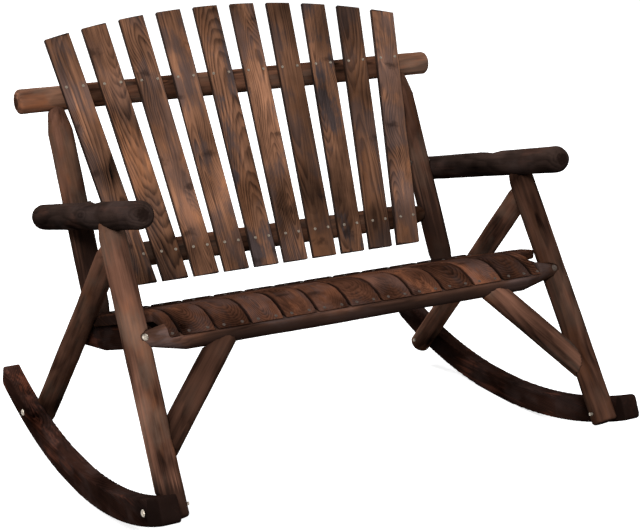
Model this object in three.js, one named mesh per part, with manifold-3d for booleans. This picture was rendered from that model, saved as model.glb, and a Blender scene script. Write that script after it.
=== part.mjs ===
// A two-seat rocking bench in charred round timber: two curved runners, A-shaped log sides,
// a fan of ten back slats on two log rails, and thirteen contoured seat slats.
// Millimetres. X runs across the bench, the sitter faces -Y, Z is up.

import * as THREE from "three";
import { mergeVertices } from "three/addons/utils/BufferGeometryUtils.js";
import Module from "manifold-3d";

const wasm = await Module();
wasm.setup();

// Widths across the bench
const overallWidth = 1250; // outer face of one runner to outer face of the other
const runnerWidth = 43; // plank thickness of a runner
const legLap = 8; // depth of the flat that a leg's foot has against the runner
const legLean = 1.85; // degrees that a front or rear leg leans towards the middle
const armInset = 6; // how far the arm's axis lies inside the top of the front leg
const armLap = 14; // depth of the saddle in an arm where the back post crosses it
const topRailOverhang = 66; // top rail past the axis of each post
const seatOverhang = 21; // outer seat slats past the inner side of the front legs

// Round timber
const legDiameter = 62;
const rearLegDiameter = 57;
const postDiameter = 62;
const armDiameter = 64;
const topRailDiameter = 62;
const lowerRailDiameter = 62;
const frontRailDiameter = 76;
const rearRailDiameter = 60;
const braceDiameter = 60;

// Runners
const runnerRadius = 1450; // radius of the sole, about a centre above the bench
const runnerHeight = 60; // radial depth of the plank
const runnerFrontAngle = 25.5; // degrees of arc ahead of the lowest point
const runnerUneven = 1; // degrees more at the front of the left runner, and less at the right
const runnerRearAngle = 19.4; // degrees of arc behind it
const runnerCorner = 14; // rounding of the plank's ends

// Side view, measured from the lowest point of the runners
const footFrontY = -551; // foot of the front leg's axis
const armFrontY = -370; // front tip of the arm
const armFrontZ = 728.8;
const armLength = 731;
const armSlope = 13.7; // degrees that the arm rises to the front
const frontLegRake = 34.2; // degrees that the front leg leans back
const rearFootY = 322; // foot of the rear leg's axis
const rearLegRake = 42.2; // degrees that the rear leg leans forward
const backLean = 28; // degrees that the back leans from upright
const lowerRailY = 149;
const lowerRailZ = 482;
const railSpacing = 418; // lower rail to top rail, along the back
const postBelowBolt = 30; // post below the bolt at its foot, along the back

// Back slats
const backSlatCount = 10;
const backSlatInset = 80.7; // outer slats' lower outer corners inside the posts' axes
const backSlatThickness = 12;
const backSlatGap = 16.1; // between neighbours at their lower ends
const backFanAngle = 1.75; // degrees between neighbours
const backFanShift = 3; // the fan's middle, to the right of the bench's
const backSlatBelowRail = 81; // lower ends below the lower rail, along the back
const backSlatHeight = 695; // length of the middle slats
const backCrownRadius = 2130; // radius of the curve that the tops are cut to
const railFlat = 1.4; // depth that the rails and posts are planed behind the slats

// Seat slats
const seatSlatCount = 13;
const seatSlatGap = 5;
const seatSlatThickness = 24;
const seatRearY = 40; // rear end of the slats' upper face
const seatRearZ = 387;
const seatFrontOverhang = 36; // front end of the slats' curve ahead of the front rail's axis
const seatCrestHeight = 90; // crest above the rear end
const seatNotchGap = 3; // air round a leg or post where a slat is notched
const seatFrontInset = 33; // outer slats' front parts inside the inner side of the front legs
const seatLedgeHeight = 4; // flat planed on the front rail for the slats, above its axis

// Seat frame
const frontRailForward = 16; // front rail's axis ahead of the front legs' axes
const frontRailZ = 444;
const frontRailTaper = 75; // whittled length at each end, outside the leg
const frontTenonDiameter = 40; // where it enters the leg
const frontTenonTip = 26; // diameter at its end
const frontTenonDepth = 36; // tenon inside the leg
const rearRailSetback = 30; // rear rail's axis ahead of the slats' rear ends
const sideRailThickness = 28;
const sideRailHeight = 50;
const sideRailFrontHeight = 18; // what is left of it at the front rail's axis
const sideRailBelly = 12; // depth of the shallow point in its lower edge
const sideRailBellyY = -60;
const sideRailLap = 8; // depth that it is let into the front legs
const sideRailRearRun = 96; // side rail behind the slats' rear ends
const braceFootZ = 222; // where the brace's axis meets the front leg's
const braceSpread = 39.8; // degrees between a brace and its leg
const braceSetback = 8; // foot of a brace behind the leg's axis

// Shaping of the log ends
const endChamfer = 4; // edge of a sawn end
const whittleLength = 48; // whittled part of a leg or post end
const whittleDiameter = 44; // and what it comes down to
const longWhittleLength = 86; // the same for the tops of the posts and the ends of the lower rail
const longWhittleDiameter = 30;
const postFootWhittleLength = 100; // and for the feet of the posts
const postFootDiameter = 34;
const armDome = 27; // length of the rounded end of an arm
const railDome = 12; // length of the rounded end of the top rail
const armDipDepth = 7; // shallow notch worn into the top of the arm
const armDipWidth = 112;
const armDipFromFront = 308; // along the arm, from its front tip

// Bolts and studs
const boltDiameter = 8;
const boltHeadDiameter = 17;
const boltHeadHeight = 4.5;
const boltSeat = 2; // depth that a head is let into a round log
const boltEndShow = 5; // a bolt's end past the timber or its nut
const nutAcross = 14; // flat to flat
const nutThickness = 7;
const nutSides = 6;
const headShares = [[0, 1], [0.55, 0.86], [0.9, 0.45], [1, 0]]; // of its radius and its height
const armBoltHeight = 22; // bolt through the post, above the arm's axis
const armBoltEmbed = 42; // length of it inside the arm
const postBoltEmbed = 34; // length of the bolt at a post's foot inside the rear leg
const sideBoltSetback = 42; // bolt at the front of a side rail, behind the front rail's axis
const sideBoltDrop = 16; // and below it
const sideBoltEmbed = 38; // length of it inside the leg
const tenonBoltDrop = 8; // how far below the tenon's axis its bolt passes, along the leg
const tenonBoltLength = 50;
const armStudLength = 70;

// General
const fit = 0.3; // air between pieces that touch
const overrun = 20; // how far a cutting shape reaches past what it cuts
const logSides = 20;
const boltSides = 10;
const arcSteps = 36;
const cornerSteps = 6;
const woodDensity = 0.45; // grams per cubic centimetre
const steelDensity = 7.85;

const radians = THREE.MathUtils.degToRad;
const V = (x, y, z) => new THREE.Vector3(x, y, z);

// Places worked out from the sizes above

const runnerOuterX = overallWidth / 2;
const runnerInnerX = runnerOuterX - runnerWidth;
const runnerCentreZ = runnerRadius;

/** Height of the sole above its lowest point, at a distance in front of or behind it. */
function soleZ(y) {
  return runnerCentreZ - Math.sqrt(runnerRadius ** 2 - y ** 2);
}

/** Meeting point, in side view, of two lines given by a point and a direction. */
function crossing(a, da, b, db) {
  const det = da.y * -db.z + da.z * db.y;
  const along = ((b.y - a.y) * -db.z + (b.z - a.z) * db.y) / det;
  return { y: a.y + da.y * along, z: a.z + da.z * along };
}

/** Lengths of a line, from a point along a unit direction, to a circle about the Z axis: near, far. */
function toCircle(point, along, centreZ, radius) {
  const rise = point.z - centreZ;
  const middle = -(point.y * along.y + rise * along.z);
  const half = Math.sqrt(middle ** 2 - (point.y ** 2 + rise ** 2 - radius ** 2));
  return [middle - half, middle + half];
}

const upBack = { y: Math.sin(radians(backLean)), z: Math.cos(radians(backLean)) };
const upFrontLeg = { y: Math.sin(radians(frontLegRake)), z: Math.cos(radians(frontLegRake)) };
const upRearLeg = { y: -Math.sin(radians(rearLegRake)), z: Math.cos(radians(rearLegRake)) };
const backOfArm = { y: Math.cos(radians(armSlope)), z: -Math.sin(radians(armSlope)) };

const armFront = { y: armFrontY, z: armFrontZ };
const armRear = { y: armFrontY + backOfArm.y * armLength, z: armFrontZ + backOfArm.z * armLength };
const lowerRail = { y: lowerRailY, z: lowerRailZ };
const topRail = { y: lowerRailY + upBack.y * railSpacing, z: lowerRailZ + upBack.z * railSpacing };

const frontFoot = { y: footFrontY, z: soleZ(footFrontY) + endChamfer };
const rearFoot = { y: rearFootY, z: soleZ(rearFootY) + endChamfer };

/** Distance of a front leg's axis along the bench, at a height. */
function frontLegY(z) {
  return frontFoot.y + (upFrontLeg.y * (z - frontFoot.z)) / upFrontLeg.z;
}

const frontRailY = frontLegY(frontRailZ) - frontRailForward;
const seatDepth = seatRearY - frontRailY + seatFrontOverhang;
const frontLegTop = crossing(frontFoot, upFrontLeg, armFront, backOfArm);
const rearLegTop = crossing(rearFoot, upRearLeg, frontFoot, upFrontLeg);
const armOnPost = crossing(lowerRail, upBack, armFront, backOfArm);
const postJoint = crossing(lowerRail, upBack, rearFoot, upRearLeg);
const postFoot = { y: postJoint.y - upBack.y * postBelowBolt, z: postJoint.z - upBack.z * postBelowBolt };

/** Distance of a leg's axis from the middle plane, at a height. */
function legX(z, diameter = legDiameter) {
  const footX = runnerInnerX + legLap - diameter / 2;
  return footX - Math.tan(radians(legLean)) * (z - frontFoot.z);
}

const legInnerX = legX(frontRailZ) - legDiameter / 2;
const sideRailOuterX = legInnerX + sideRailLap;
const sideRailInnerX = sideRailOuterX - sideRailThickness;
const armX = legX(frontLegTop.z) - armInset;
const postX = armX - armDiameter / 2 - postDiameter / 2 + armLap;
const seatHalfWidth = legInnerX + seatOverhang;
const seatFrontHalfWidth = legInnerX - seatFrontInset;
const seatLedgeZ = frontRailZ + seatLedgeHeight;
const seatPitch = (2 * seatHalfWidth + seatSlatGap) / seatSlatCount;
const backSlatOffset = postDiameter / 2 - railFlat; // back face of the slats from the rails' plane
const backSlatPitch = (2 * (postX - backSlatInset) + backSlatGap) / backSlatCount;
const backSlatWidth = backSlatPitch - backSlatGap;

// Geometry helpers

/** Places a side-view shape: its x is the bench's Y, its y is Z, and its depth lies across X. */
const sideView = new THREE.Matrix4().makeBasis(V(0, 1, 0), V(0, 0, 1), V(1, 0, 0));

/** A closed solid from a three.js geometry, moved by a matrix. */
function solidOf(geometry, matrix = new THREE.Matrix4()) {
  const moved = geometry.clone().applyMatrix4(matrix);
  moved.deleteAttribute("normal");
  moved.deleteAttribute("uv");
  const merged = mergeVertices(moved, 1e-3);
  const index = merged.index.array;
  const kept = [];
  for (let i = 0; i < index.length; i += 3) {
    const [a, b, c] = [index[i], index[i + 1], index[i + 2]];
    if (a !== b && b !== c && c !== a) kept.push(a, b, c);
  }
  const vertProperties = new Float32Array(merged.attributes.position.array);
  const triVerts = new Uint32Array(kept);
  return new wasm.Manifold(new wasm.Mesh({ numProp: 3, vertProperties, triVerts }));
}

/** A solid turned about the line from one point to another, from (radius, distance) pairs. */
function turned(from, to, outline, sides) {
  const profile = outline.map(([radius, along]) => new THREE.Vector2(radius, along));
  const lathe = new THREE.LatheGeometry(profile, sides);
  const axis = to.clone().sub(from).normalize();
  const turn = new THREE.Quaternion().setFromUnitVectors(V(0, 1, 0), axis);
  return solidOf(lathe, new THREE.Matrix4().compose(from, turn, V(1, 1, 1)));
}

/** The (radius, distance) pairs of one end of a log, from the axis outwards. */
const logEnds = {
  sawn: (r) => [[0, 0], [r - endChamfer, 0], [r, endChamfer]],
  plain: (r) => [[0, 0], [r, 0]],
  whittled: (r) => [[0, 0], [whittleDiameter / 2, 0], [r, whittleLength]],
  long: (r) => [[0, 0], [longWhittleDiameter / 2, 0], [r, longWhittleLength]],
  foot: (r) => [[0, 0], [postFootDiameter / 2, 0], [r, postFootWhittleLength]],
  arm: (r) => domeEnd(r, armDome),
  rail: (r) => domeEnd(r, railDome),
};

/** A rounded end: a quarter ellipse from a small flat on the axis out to the log's side. */
function domeEnd(r, length) {
  const steps = 5;
  const flatShare = 0.3;
  const points = [[0, 0]];
  for (let i = 0; i <= steps; i++) {
    const angle = (Math.PI / 2) * (i / steps);
    points.push([r * (flatShare + (1 - flatShare) * Math.sin(angle)), length * (1 - Math.cos(angle))]);
  }
  return points;
}

/** A turned outline of a given length, grown outwards and past both ends. */
function swollen(outline, length, grow) {
  return outline.map(([r, along]) => {
    const moved = along < length / 2 ? along - grow : along + grow;
    return [r === 0 ? 0 : r + grow, moved];
  });
}

/** A log from one point to another, grown all round by an allowance. */
function log(from, to, diameter, startEnd, finishEnd, grow = 0) {
  const length = from.distanceTo(to);
  const radius = diameter / 2;
  const start = logEnds[startEnd](radius);
  const finish = logEnds[finishEnd](radius).map(([r, along]) => [r, length - along]).reverse();
  return turned(from, to, swollen([...start, ...finish], length, grow), logSides);
}

/** A plank with a side-view outline, between two distances from the middle plane. */
function sidePlank(shape, x0, x1) {
  const low = Math.min(x0, x1);
  const geometry = new THREE.ExtrudeGeometry(shape, {
    depth: Math.abs(x1 - x0),
    bevelEnabled: false,
    curveSegments: cornerSteps,
  });
  return solidOf(geometry, new THREE.Matrix4().makeTranslation(low, 0, 0).multiply(sideView));
}

/** A round bar, for bolts, studs and the holes that they pass through. */
function bar(from, to, diameter) {
  const length = from.distanceTo(to);
  return turned(from, to, [[0, 0], [diameter / 2, 0], [diameter / 2, length], [0, length]], boltSides);
}

/** A dome-headed bolt: the head stands outside the first point, the shank runs to the second. */
function bolt(from, to) {
  const length = from.distanceTo(to);
  const head = boltHeadDiameter / 2;
  const outline = [
    ...headShares.map(([across, along]) => [head * across, -boltHeadHeight * along]),
    [boltDiameter / 2, 0],
    [boltDiameter / 2, length],
    [0, length],
  ];
  return turned(from, to, outline, boltSides);
}

/** A hexagonal nut between its two faces, before its bolt's hole is cut. */
function nutBlank(from, to) {
  const length = from.distanceTo(to);
  const corner = nutAcross / 2 / Math.cos(Math.PI / nutSides);
  return turned(from, to, [[0, 0], [corner, 0], [corner, length], [0, length]], nutSides);
}

/** The hole for a bolt, with a shallow seat for its head and clearance round its shank. */
function boltHole(from, to) {
  const axis = to.clone().sub(from).normalize();
  const shank = bar(from, to.clone().addScaledVector(axis, fit), boltDiameter + 2 * fit);
  const above = from.clone().addScaledVector(axis, -overrun);
  return shank.add(bar(above, from.clone().addScaledVector(axis, fit), boltHeadDiameter + 2 * fit));
}

/** The hole for a plain bar, with clearance all round. */
function studHole(from, to) {
  const axis = to.clone().sub(from).normalize().multiplyScalar(fit);
  return bar(from.clone().sub(axis), to.clone().add(axis), boltDiameter + 2 * fit);
}

/** Takes every cutter away from a solid. */
function cut(solid, ...cutters) {
  return cutters.reduce((left, cutter) => left.subtract(cutter), solid);
}

/** The largest body of a solid, where a cut leaves slivers. */
function mainBody(solid) {
  const bodies = solid.decompose();
  return bodies.sort((a, b) => b.volume() - a.volume())[0];
}

// Materials

const timber = (color, roughness) => new THREE.MeshStandardMaterial({ color, roughness, metalness: 0 });
const darkTimber = timber(0x33241d, 0.6);
const legTimber = timber(0x4a362b, 0.6);
const backTimber = timber(0x5a3a28, 0.62);
const seatTimber = timber(0x5e3a2a, 0.58);
const steel = new THREE.MeshStandardMaterial({ color: 0xb9b4aa, roughness: 0.35, metalness: 1 });

const bench = new THREE.Group();
const weighed = { mass: 0, y: 0, z: 0 };

/** Adds a finished solid to the bench as a named mesh, and keeps count of the weight. */
function add(name, solid, material) {
  const body = mainBody(solid);
  const { vertProperties, triVerts, numProp } = body.getMesh();
  const geometry = new THREE.BufferGeometry();
  const position = new Float32Array((vertProperties.length / numProp) * 3);
  for (let i = 0; i < position.length / 3; i++) {
    for (let k = 0; k < 3; k++) position[3 * i + k] = vertProperties[numProp * i + k];
  }
  geometry.setAttribute("position", new THREE.BufferAttribute(position, 3));
  geometry.setIndex(new THREE.BufferAttribute(new Uint32Array(triVerts), 1));
  geometry.computeVertexNormals();
  const mesh = new THREE.Mesh(geometry, material);
  mesh.name = name;
  bench.add(mesh);
  weigh(position, triVerts, material === steel ? steelDensity : woodDensity);
}

/** Adds a piece's weight and first moments, from the tetrahedra under its triangles. */
function weigh(position, triVerts, density) {
  const point = (i) => V(position[3 * i], position[3 * i + 1], position[3 * i + 2]);
  for (let i = 0; i < triVerts.length; i += 3) {
    const [a, b, c] = [point(triVerts[i]), point(triVerts[i + 1]), point(triVerts[i + 2])];
    const mass = (density * a.dot(b.clone().cross(c))) / 6;
    weighed.mass += mass;
    weighed.y += (mass * (a.y + b.y + c.y)) / 4;
    weighed.z += (mass * (a.z + b.z + c.z)) / 4;
  }
}

// Logs of one side. Each takes the side, -1 left or 1 right, and an allowance to grow by.

const at = (side, x, point) => V(side * x, point.y, point.z);

function frontLegLog(side, grow = 0) {
  const foot = at(side, legX(frontFoot.z), frontFoot);
  return log(foot, at(side, legX(frontLegTop.z), frontLegTop), legDiameter, "sawn", "whittled", grow);
}

function rearLegLog(side, grow = 0) {
  const foot = at(side, legX(rearFoot.z, rearLegDiameter), rearFoot);
  const top = at(side, legX(rearLegTop.z, rearLegDiameter), rearLegTop);
  return log(foot, top, rearLegDiameter, "sawn", "whittled", grow);
}

function postLog(side, grow = 0) {
  return log(at(side, postX, postFoot), at(side, postX, topRail), postDiameter, "foot", "long", grow);
}

function armLog(side, grow = 0) {
  return log(at(side, armX, armRear), at(side, armX, armFront), armDiameter, "arm", "arm", grow);
}

/** Side-view outline of one side's runner: a curved plank with rounded corners. */
function runnerShape(side, grow = 0) {
  const outer = runnerRadius + grow;
  const inner = runnerRadius - runnerHeight - grow;
  const front = -radians(runnerFrontAngle - side * runnerUneven);
  const rear = radians(runnerRearAngle);
  const turnBack = runnerCorner / runnerRadius;
  const on = (radius, angle) => [radius * Math.sin(angle), runnerCentreZ - radius * Math.cos(angle)];
  const shape = new THREE.Shape();
  const arc = (radius, start, finish) => {
    const step = (finish - start) / arcSteps;
    for (let i = 1; i <= arcSteps; i++) shape.lineTo(...on(radius, start + i * step));
  };
  shape.moveTo(...on(outer, front + turnBack));
  arc(outer, front + turnBack, rear - turnBack);
  shape.quadraticCurveTo(...on(outer, rear), ...on(outer - runnerCorner, rear));
  shape.lineTo(...on(inner + runnerCorner, rear));
  shape.quadraticCurveTo(...on(inner, rear), ...on(inner, rear - turnBack));
  arc(inner, rear - turnBack, front + turnBack);
  shape.quadraticCurveTo(...on(inner, front), ...on(inner + runnerCorner, front));
  shape.lineTo(...on(outer - runnerCorner, front));
  shape.quadraticCurveTo(...on(outer, front), ...on(outer, front + turnBack));
  return shape;
}

function runnerPlank(side, grow = 0) {
  return sidePlank(runnerShape(side, grow), side * (runnerInnerX - grow), side * (runnerOuterX + grow));
}

// The seat's side view. Heights are shares of the rise from the rear end to the crest, and
// distances are shares of the depth from the rear end to the front.

const seatDepthShares = [0, 0.1, 0.22, 0.35, 0.48, 0.6, 0.7, 0.77, 0.83, 0.89, 0.94, 0.98, 1];
const straightPoints = 3; // from the rear end, where the seat's line is close to straight
const seatHeightShares = [0, 0.09, 0.27, 0.47, 0.68, 0.86, 0.965, 1, 0.985, 0.92, 0.83, 0.72, 0.63];

/** Points of the seat's upper face, rear to front, moved down square to the face by a depth. */
function seatFace(depth = 0) {
  const points = seatDepthShares.map((share, i) => {
    const height = seatHeightShares[i] * seatCrestHeight;
    return new THREE.Vector2(seatRearY - share * seatDepth, seatRearZ + height);
  });
  return points.map((point, i) => {
    const before = points[Math.max(i - 1, 0)];
    const after = points[Math.min(i + 1, points.length - 1)];
    const along = after.clone().sub(before).normalize();
    return new THREE.Vector2(point.x - along.y * depth, point.y + along.x * depth);
  });
}

/** Height of a line of points at a distance along the bench. */
function heightOn(points, y) {
  const i = Math.max(1, points.findIndex((point) => point.x <= y));
  const [a, b] = [points[i - 1], points[i]];
  return a.y + ((b.y - a.y) * (y - a.x)) / (b.x - a.x);
}

const seatUnder = seatFace(seatSlatThickness);
const rearRail = { y: seatRearY - rearRailSetback };
rearRail.z = heightOn(seatUnder, rearRail.y) - rearRailDiameter / 2 + railFlat;

/** A line of points, rear to front, that ends where it comes down to a height past the crest. */
function downTo(points, floorZ) {
  const last = points.findLastIndex((point) => point.y > floorZ);
  const [a, b] = [points[last], points[last + 1]];
  const end = a.clone().lerp(b, (a.y - floorZ) / (a.y - b.y));
  return [...points.slice(0, last + 1), end];
}

/** Side-view outline of a seat slat: an even thickness, sawn level where it lies on the front rail. */
function seatShape() {
  const under = downTo(seatFace(seatSlatThickness), seatLedgeZ);
  return new THREE.Shape([...downTo(seatFace(), seatLedgeZ), ...under.reverse()]);
}

const seatCeiling = seatRearZ + seatCrestHeight + overrun;
const seatFrontEdge = frontRailY - frontRailDiameter / 2 - overrun;

/** Everything above the underside of the slats, over a width of the seat. */
function seatRoom(halfWidth = seatHalfWidth) {
  const under = downTo(seatFace(seatSlatThickness + fit), seatLedgeZ - fit);
  const rear = under[0];
  const shape = new THREE.Shape();
  shape.moveTo(rear.x + overrun, rear.y);
  under.forEach((point) => shape.lineTo(point.x, point.y));
  shape.lineTo(seatFrontEdge, seatLedgeZ - fit);
  shape.lineTo(seatFrontEdge, seatCeiling);
  shape.lineTo(rear.x + overrun, seatCeiling);
  shape.closePath();
  return sidePlank(shape, -halfWidth - fit, halfWidth + fit);
}

/** Room round a front leg and the rail's tenon, where an outer slat is notched. */
function legRoom(side) {
  const legY = frontLegY(seatRearZ + seatCrestHeight);
  const rearY = legY + legDiameter / 2 / upFrontLeg.z + seatNotchGap;
  const shape = new THREE.Shape();
  shape.moveTo(rearY, seatRearZ);
  shape.lineTo(rearY, seatCeiling);
  shape.lineTo(seatFrontEdge, seatCeiling);
  shape.lineTo(seatFrontEdge, seatRearZ);
  shape.closePath();
  return sidePlank(shape, side * seatFrontHalfWidth, side * (seatHalfWidth + overrun));
}

// The seat frame

/** Front rail: a log whose ends are whittled to tenons that enter the front legs. */
function frontRailLog(grow = 0) {
  const shoulderX = legInnerX;
  const endX = shoulderX + frontTenonDepth;
  const half = [
    [0, 0],
    [frontTenonTip / 2, 0],
    [frontTenonDiameter / 2, frontTenonDepth],
    [frontRailDiameter / 2, frontTenonDepth + frontRailTaper],
  ];
  const length = 2 * endX;
  const mirrored = half.map(([r, along]) => [r, length - along]).reverse();
  const place = { y: frontRailY, z: frontRailZ };
  const outline = swollen([...half, ...mirrored], length, grow);
  return turned(at(-1, endX, place), at(1, endX, place), outline, logSides);
}

/** Side-view outline of a side rail, from the front leg back to the post. */
function sideRailShape(grow = 0) {
  const under = seatFace(seatSlatThickness + fit - grow);
  const rear = under[0];
  const ahead = under[straightPoints];
  const slope = (ahead.y - rear.y) / (ahead.x - rear.x);
  const rearY = rear.x + sideRailRearRun + grow;
  const frontY = frontRailY;
  const drop = sideRailHeight + 2 * grow;
  const rearTop = rear.y + slope * (rearY - rear.x);
  const top = under.filter((point) => point.x > frontY);
  const frontTop = heightOn(under, frontY);
  const bellyZ = heightOn(under, sideRailBellyY) - drop - sideRailBelly;
  const shape = new THREE.Shape();
  shape.moveTo(rearY, rearTop);
  top.forEach((point) => shape.lineTo(point.x, point.y));
  shape.lineTo(frontY - grow, frontTop);
  shape.lineTo(frontY - grow, frontTop - sideRailFrontHeight - 2 * grow);
  shape.lineTo(sideRailBellyY, bellyZ);
  shape.lineTo(rearY, rearTop - drop);
  shape.closePath();
  return shape;
}

function sideRailPlank(side, grow = 0) {
  return sidePlank(sideRailShape(grow), side * (sideRailInnerX - grow), side * (sideRailOuterX + grow));
}

function rearRailLog() {
  const endX = sideRailInnerX - fit;
  return log(at(-1, endX, rearRail), at(1, endX, rearRail), rearRailDiameter, "plain", "plain");
}

/** Brace in the plane of the front legs, from a leg up and inwards to the front rail. */
function braceLog(side) {
  const footAlong = (braceFootZ - frontFoot.z) / upFrontLeg.z;
  const footY = frontFoot.y + upFrontLeg.y * footAlong + braceSetback;
  const foot = V(side * legX(braceFootZ), footY, braceFootZ);
  const rise = (frontRailZ - braceFootZ) / upFrontLeg.z;
  const reach = rise * Math.tan(radians(braceSpread));
  const head = V(foot.x - side * reach, frontRailY, frontRailZ);
  return log(foot, head, braceDiameter, "plain", "plain");
}

// The back

/** Point on the back, from a distance across, up from the lower rail, and out of the rails' plane. */
function onBack(x, up, out) {
  return V(x, lowerRailY + upBack.y * up - upBack.z * out, lowerRailZ + upBack.z * up + upBack.y * out);
}

const backFrame = new THREE.Matrix4().makeBasis(
  V(1, 0, 0),
  V(0, upBack.y, upBack.z),
  V(0, -upBack.z, upBack.y),
);

/** A plank lying in the back, from an outline in (across, up) and its distance out. */
function backPlank(shape, out, thickness) {
  const geometry = new THREE.ExtrudeGeometry(shape, { depth: thickness, bevelEnabled: false });
  const place = onBack(0, 0, out);
  return solidOf(geometry, new THREE.Matrix4().makeTranslation(place).multiply(backFrame));
}

/** Everything in front of the slats' back faces, for planing the rails and posts flat. */
function backRoom() {
  const low = -backSlatBelowRail - overrun;
  const high = backSlatHeight;
  const shape = new THREE.Shape();
  shape.moveTo(-overallWidth / 2, low);
  shape.lineTo(overallWidth / 2, low);
  shape.lineTo(overallWidth / 2, high);
  shape.lineTo(-overallWidth / 2, high);
  shape.closePath();
  return backPlank(shape, backSlatOffset - fit, postDiameter);
}

/** Outline of a back slat: straight below, cut to the crown above. */
function backSlatShape(number) {
  const place = number - (backSlatCount - 1) / 2;
  const angle = radians(backFanAngle) * place;
  const baseX = place * backSlatPitch + backFanShift;
  const lean = { x: Math.sin(angle), up: Math.cos(angle) };
  const bottom = -backSlatBelowRail;
  const crown = bottom + backSlatHeight - backCrownRadius;
  const edge = (offset) => {
    const x = baseX + offset / lean.up;
    const [, reach] = toCircle({ y: x, z: bottom }, { y: lean.x, z: lean.up }, crown, backCrownRadius);
    return { x, topX: x + lean.x * reach, topUp: bottom + lean.up * reach };
  };
  const [left, right] = [edge(-backSlatWidth / 2), edge(backSlatWidth / 2)];
  const steps = 4;
  const shape = new THREE.Shape();
  shape.moveTo(left.x, bottom);
  shape.lineTo(right.x, bottom);
  for (let i = 0; i <= steps; i++) {
    const x = right.topX + (left.topX - right.topX) * (i / steps);
    shape.lineTo(x, crown + Math.sqrt(backCrownRadius ** 2 - x ** 2));
  }
  shape.closePath();
  return shape;
}

// Bolts. Each gives its two ends, so that the bolt and its holes agree.

const across = (side, x0, x1, y, z) => [V(side * x0, y, z), V(side * x1, y, z)];

/** Where a leg's axis crosses the middle line of the runner's plank. */
function runnerJoint(foot, up) {
  const [along] = toCircle(foot, up, runnerCentreZ, runnerRadius - runnerHeight / 2);
  return { y: foot.y + up.y * along, z: foot.z + up.z * along };
}

const frontJoint = runnerJoint(frontFoot, upFrontLeg);
const rearJoint = runnerJoint(rearFoot, upRearLeg);
const tenonX = legInnerX + frontTenonDepth / 2;

function runnerBolt(side, joint, diameter) {
  const inner = legX(joint.z, diameter) - diameter / 2 - boltEndShow;
  return across(side, runnerOuterX, inner, joint.y, joint.z);
}

/** Screwed in square to the leg from its front, through the rail's tenon. */
function tenonBolt(side) {
  const legY = frontLegY(frontRailZ);
  const offAxis = tenonX - legX(frontRailZ);
  const toFace = Math.sqrt((legDiameter / 2) ** 2 - offAxis ** 2) - boltSeat;
  const low = { y: legY - upFrontLeg.y * tenonBoltDrop, z: frontRailZ - upFrontLeg.z * tenonBoltDrop };
  const point = (run) => V(side * tenonX, low.y + upFrontLeg.z * run, low.z - upFrontLeg.y * run);
  return [point(-toFace), point(tenonBoltLength - toFace)];
}

/** From past its nut, through the back post and into the arm. */
function armBolt(side) {
  const inner = postX - postDiameter / 2 + boltSeat - nutThickness - boltEndShow;
  const outer = postX + postDiameter / 2 - armLap + armBoltEmbed;
  return across(side, inner, outer, armOnPost.y, armOnPost.z + armBoltHeight);
}

/** The nut's two faces, the second against the inner side of the post. */
function armNut(side) {
  const seat = postX - postDiameter / 2 + boltSeat;
  return across(side, seat - nutThickness, seat, armOnPost.y, armOnPost.z + armBoltHeight);
}

/** From the inner face of a side rail into the front leg. */
function sideRailBolt(side) {
  const joint = { y: frontRailY + sideBoltSetback, z: frontRailZ - sideBoltDrop };
  return across(side, sideRailInnerX, sideRailOuterX + sideBoltEmbed, joint.y, joint.z);
}

/** Through the foot of a post and the side rail into the rear leg, where all three cross. */
function postBolt(side) {
  const share = postBelowBolt / postFootWhittleLength;
  const radius = (postFootDiameter + (postDiameter - postFootDiameter) * share) / 2;
  const inner = postX - radius + boltSeat;
  return across(side, inner, sideRailOuterX + postBoltEmbed, postJoint.y, postJoint.z);
}

/** A hidden stud along the top of the front leg, up into the arm. */
function armStud(side) {
  const half = armStudLength / 2;
  const surface = armDiameter / 2 / Math.cos(radians(frontLegRake - armSlope));
  const middle = { y: frontLegTop.y - upFrontLeg.y * surface, z: frontLegTop.z - upFrontLeg.z * surface };
  const low = { y: middle.y - upFrontLeg.y * half, z: middle.z - upFrontLeg.z * half };
  const high = { y: middle.y + upFrontLeg.y * half, z: middle.z + upFrontLeg.z * half };
  const x = (point) => legX(point.z);
  return [at(side, x(low), low), at(side, x(high), high)];
}

// Each piece

function runner(side) {
  return cut(
    runnerPlank(side),
    boltHole(...runnerBolt(side, frontJoint, legDiameter)),
    boltHole(...runnerBolt(side, rearJoint, rearLegDiameter)),
  );
}

function frontLeg(side) {
  return cut(
    frontLegLog(side),
    runnerPlank(side, fit),
    armLog(side, fit),
    sideRailPlank(side, fit),
    frontRailLog(fit),
    boltHole(...runnerBolt(side, frontJoint, legDiameter)),
    boltHole(...tenonBolt(side)),
    boltHole(...sideRailBolt(side)),
    studHole(...armStud(side)),
  );
}

function rearLeg(side) {
  return cut(
    rearLegLog(side),
    runnerPlank(side, fit),
    frontLegLog(side, fit),
    sideRailPlank(side, fit),
    boltHole(...runnerBolt(side, rearJoint, rearLegDiameter)),
    boltHole(...postBolt(side)),
  );
}

function backPost(side) {
  return cut(
    postLog(side),
    topRailLog(fit),
    sideRailPlank(side, fit),
    backRoom(),
    boltHole(armNut(side)[1], armBolt(side)[1]),
    boltHole(...postBolt(side)),
  );
}

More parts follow.
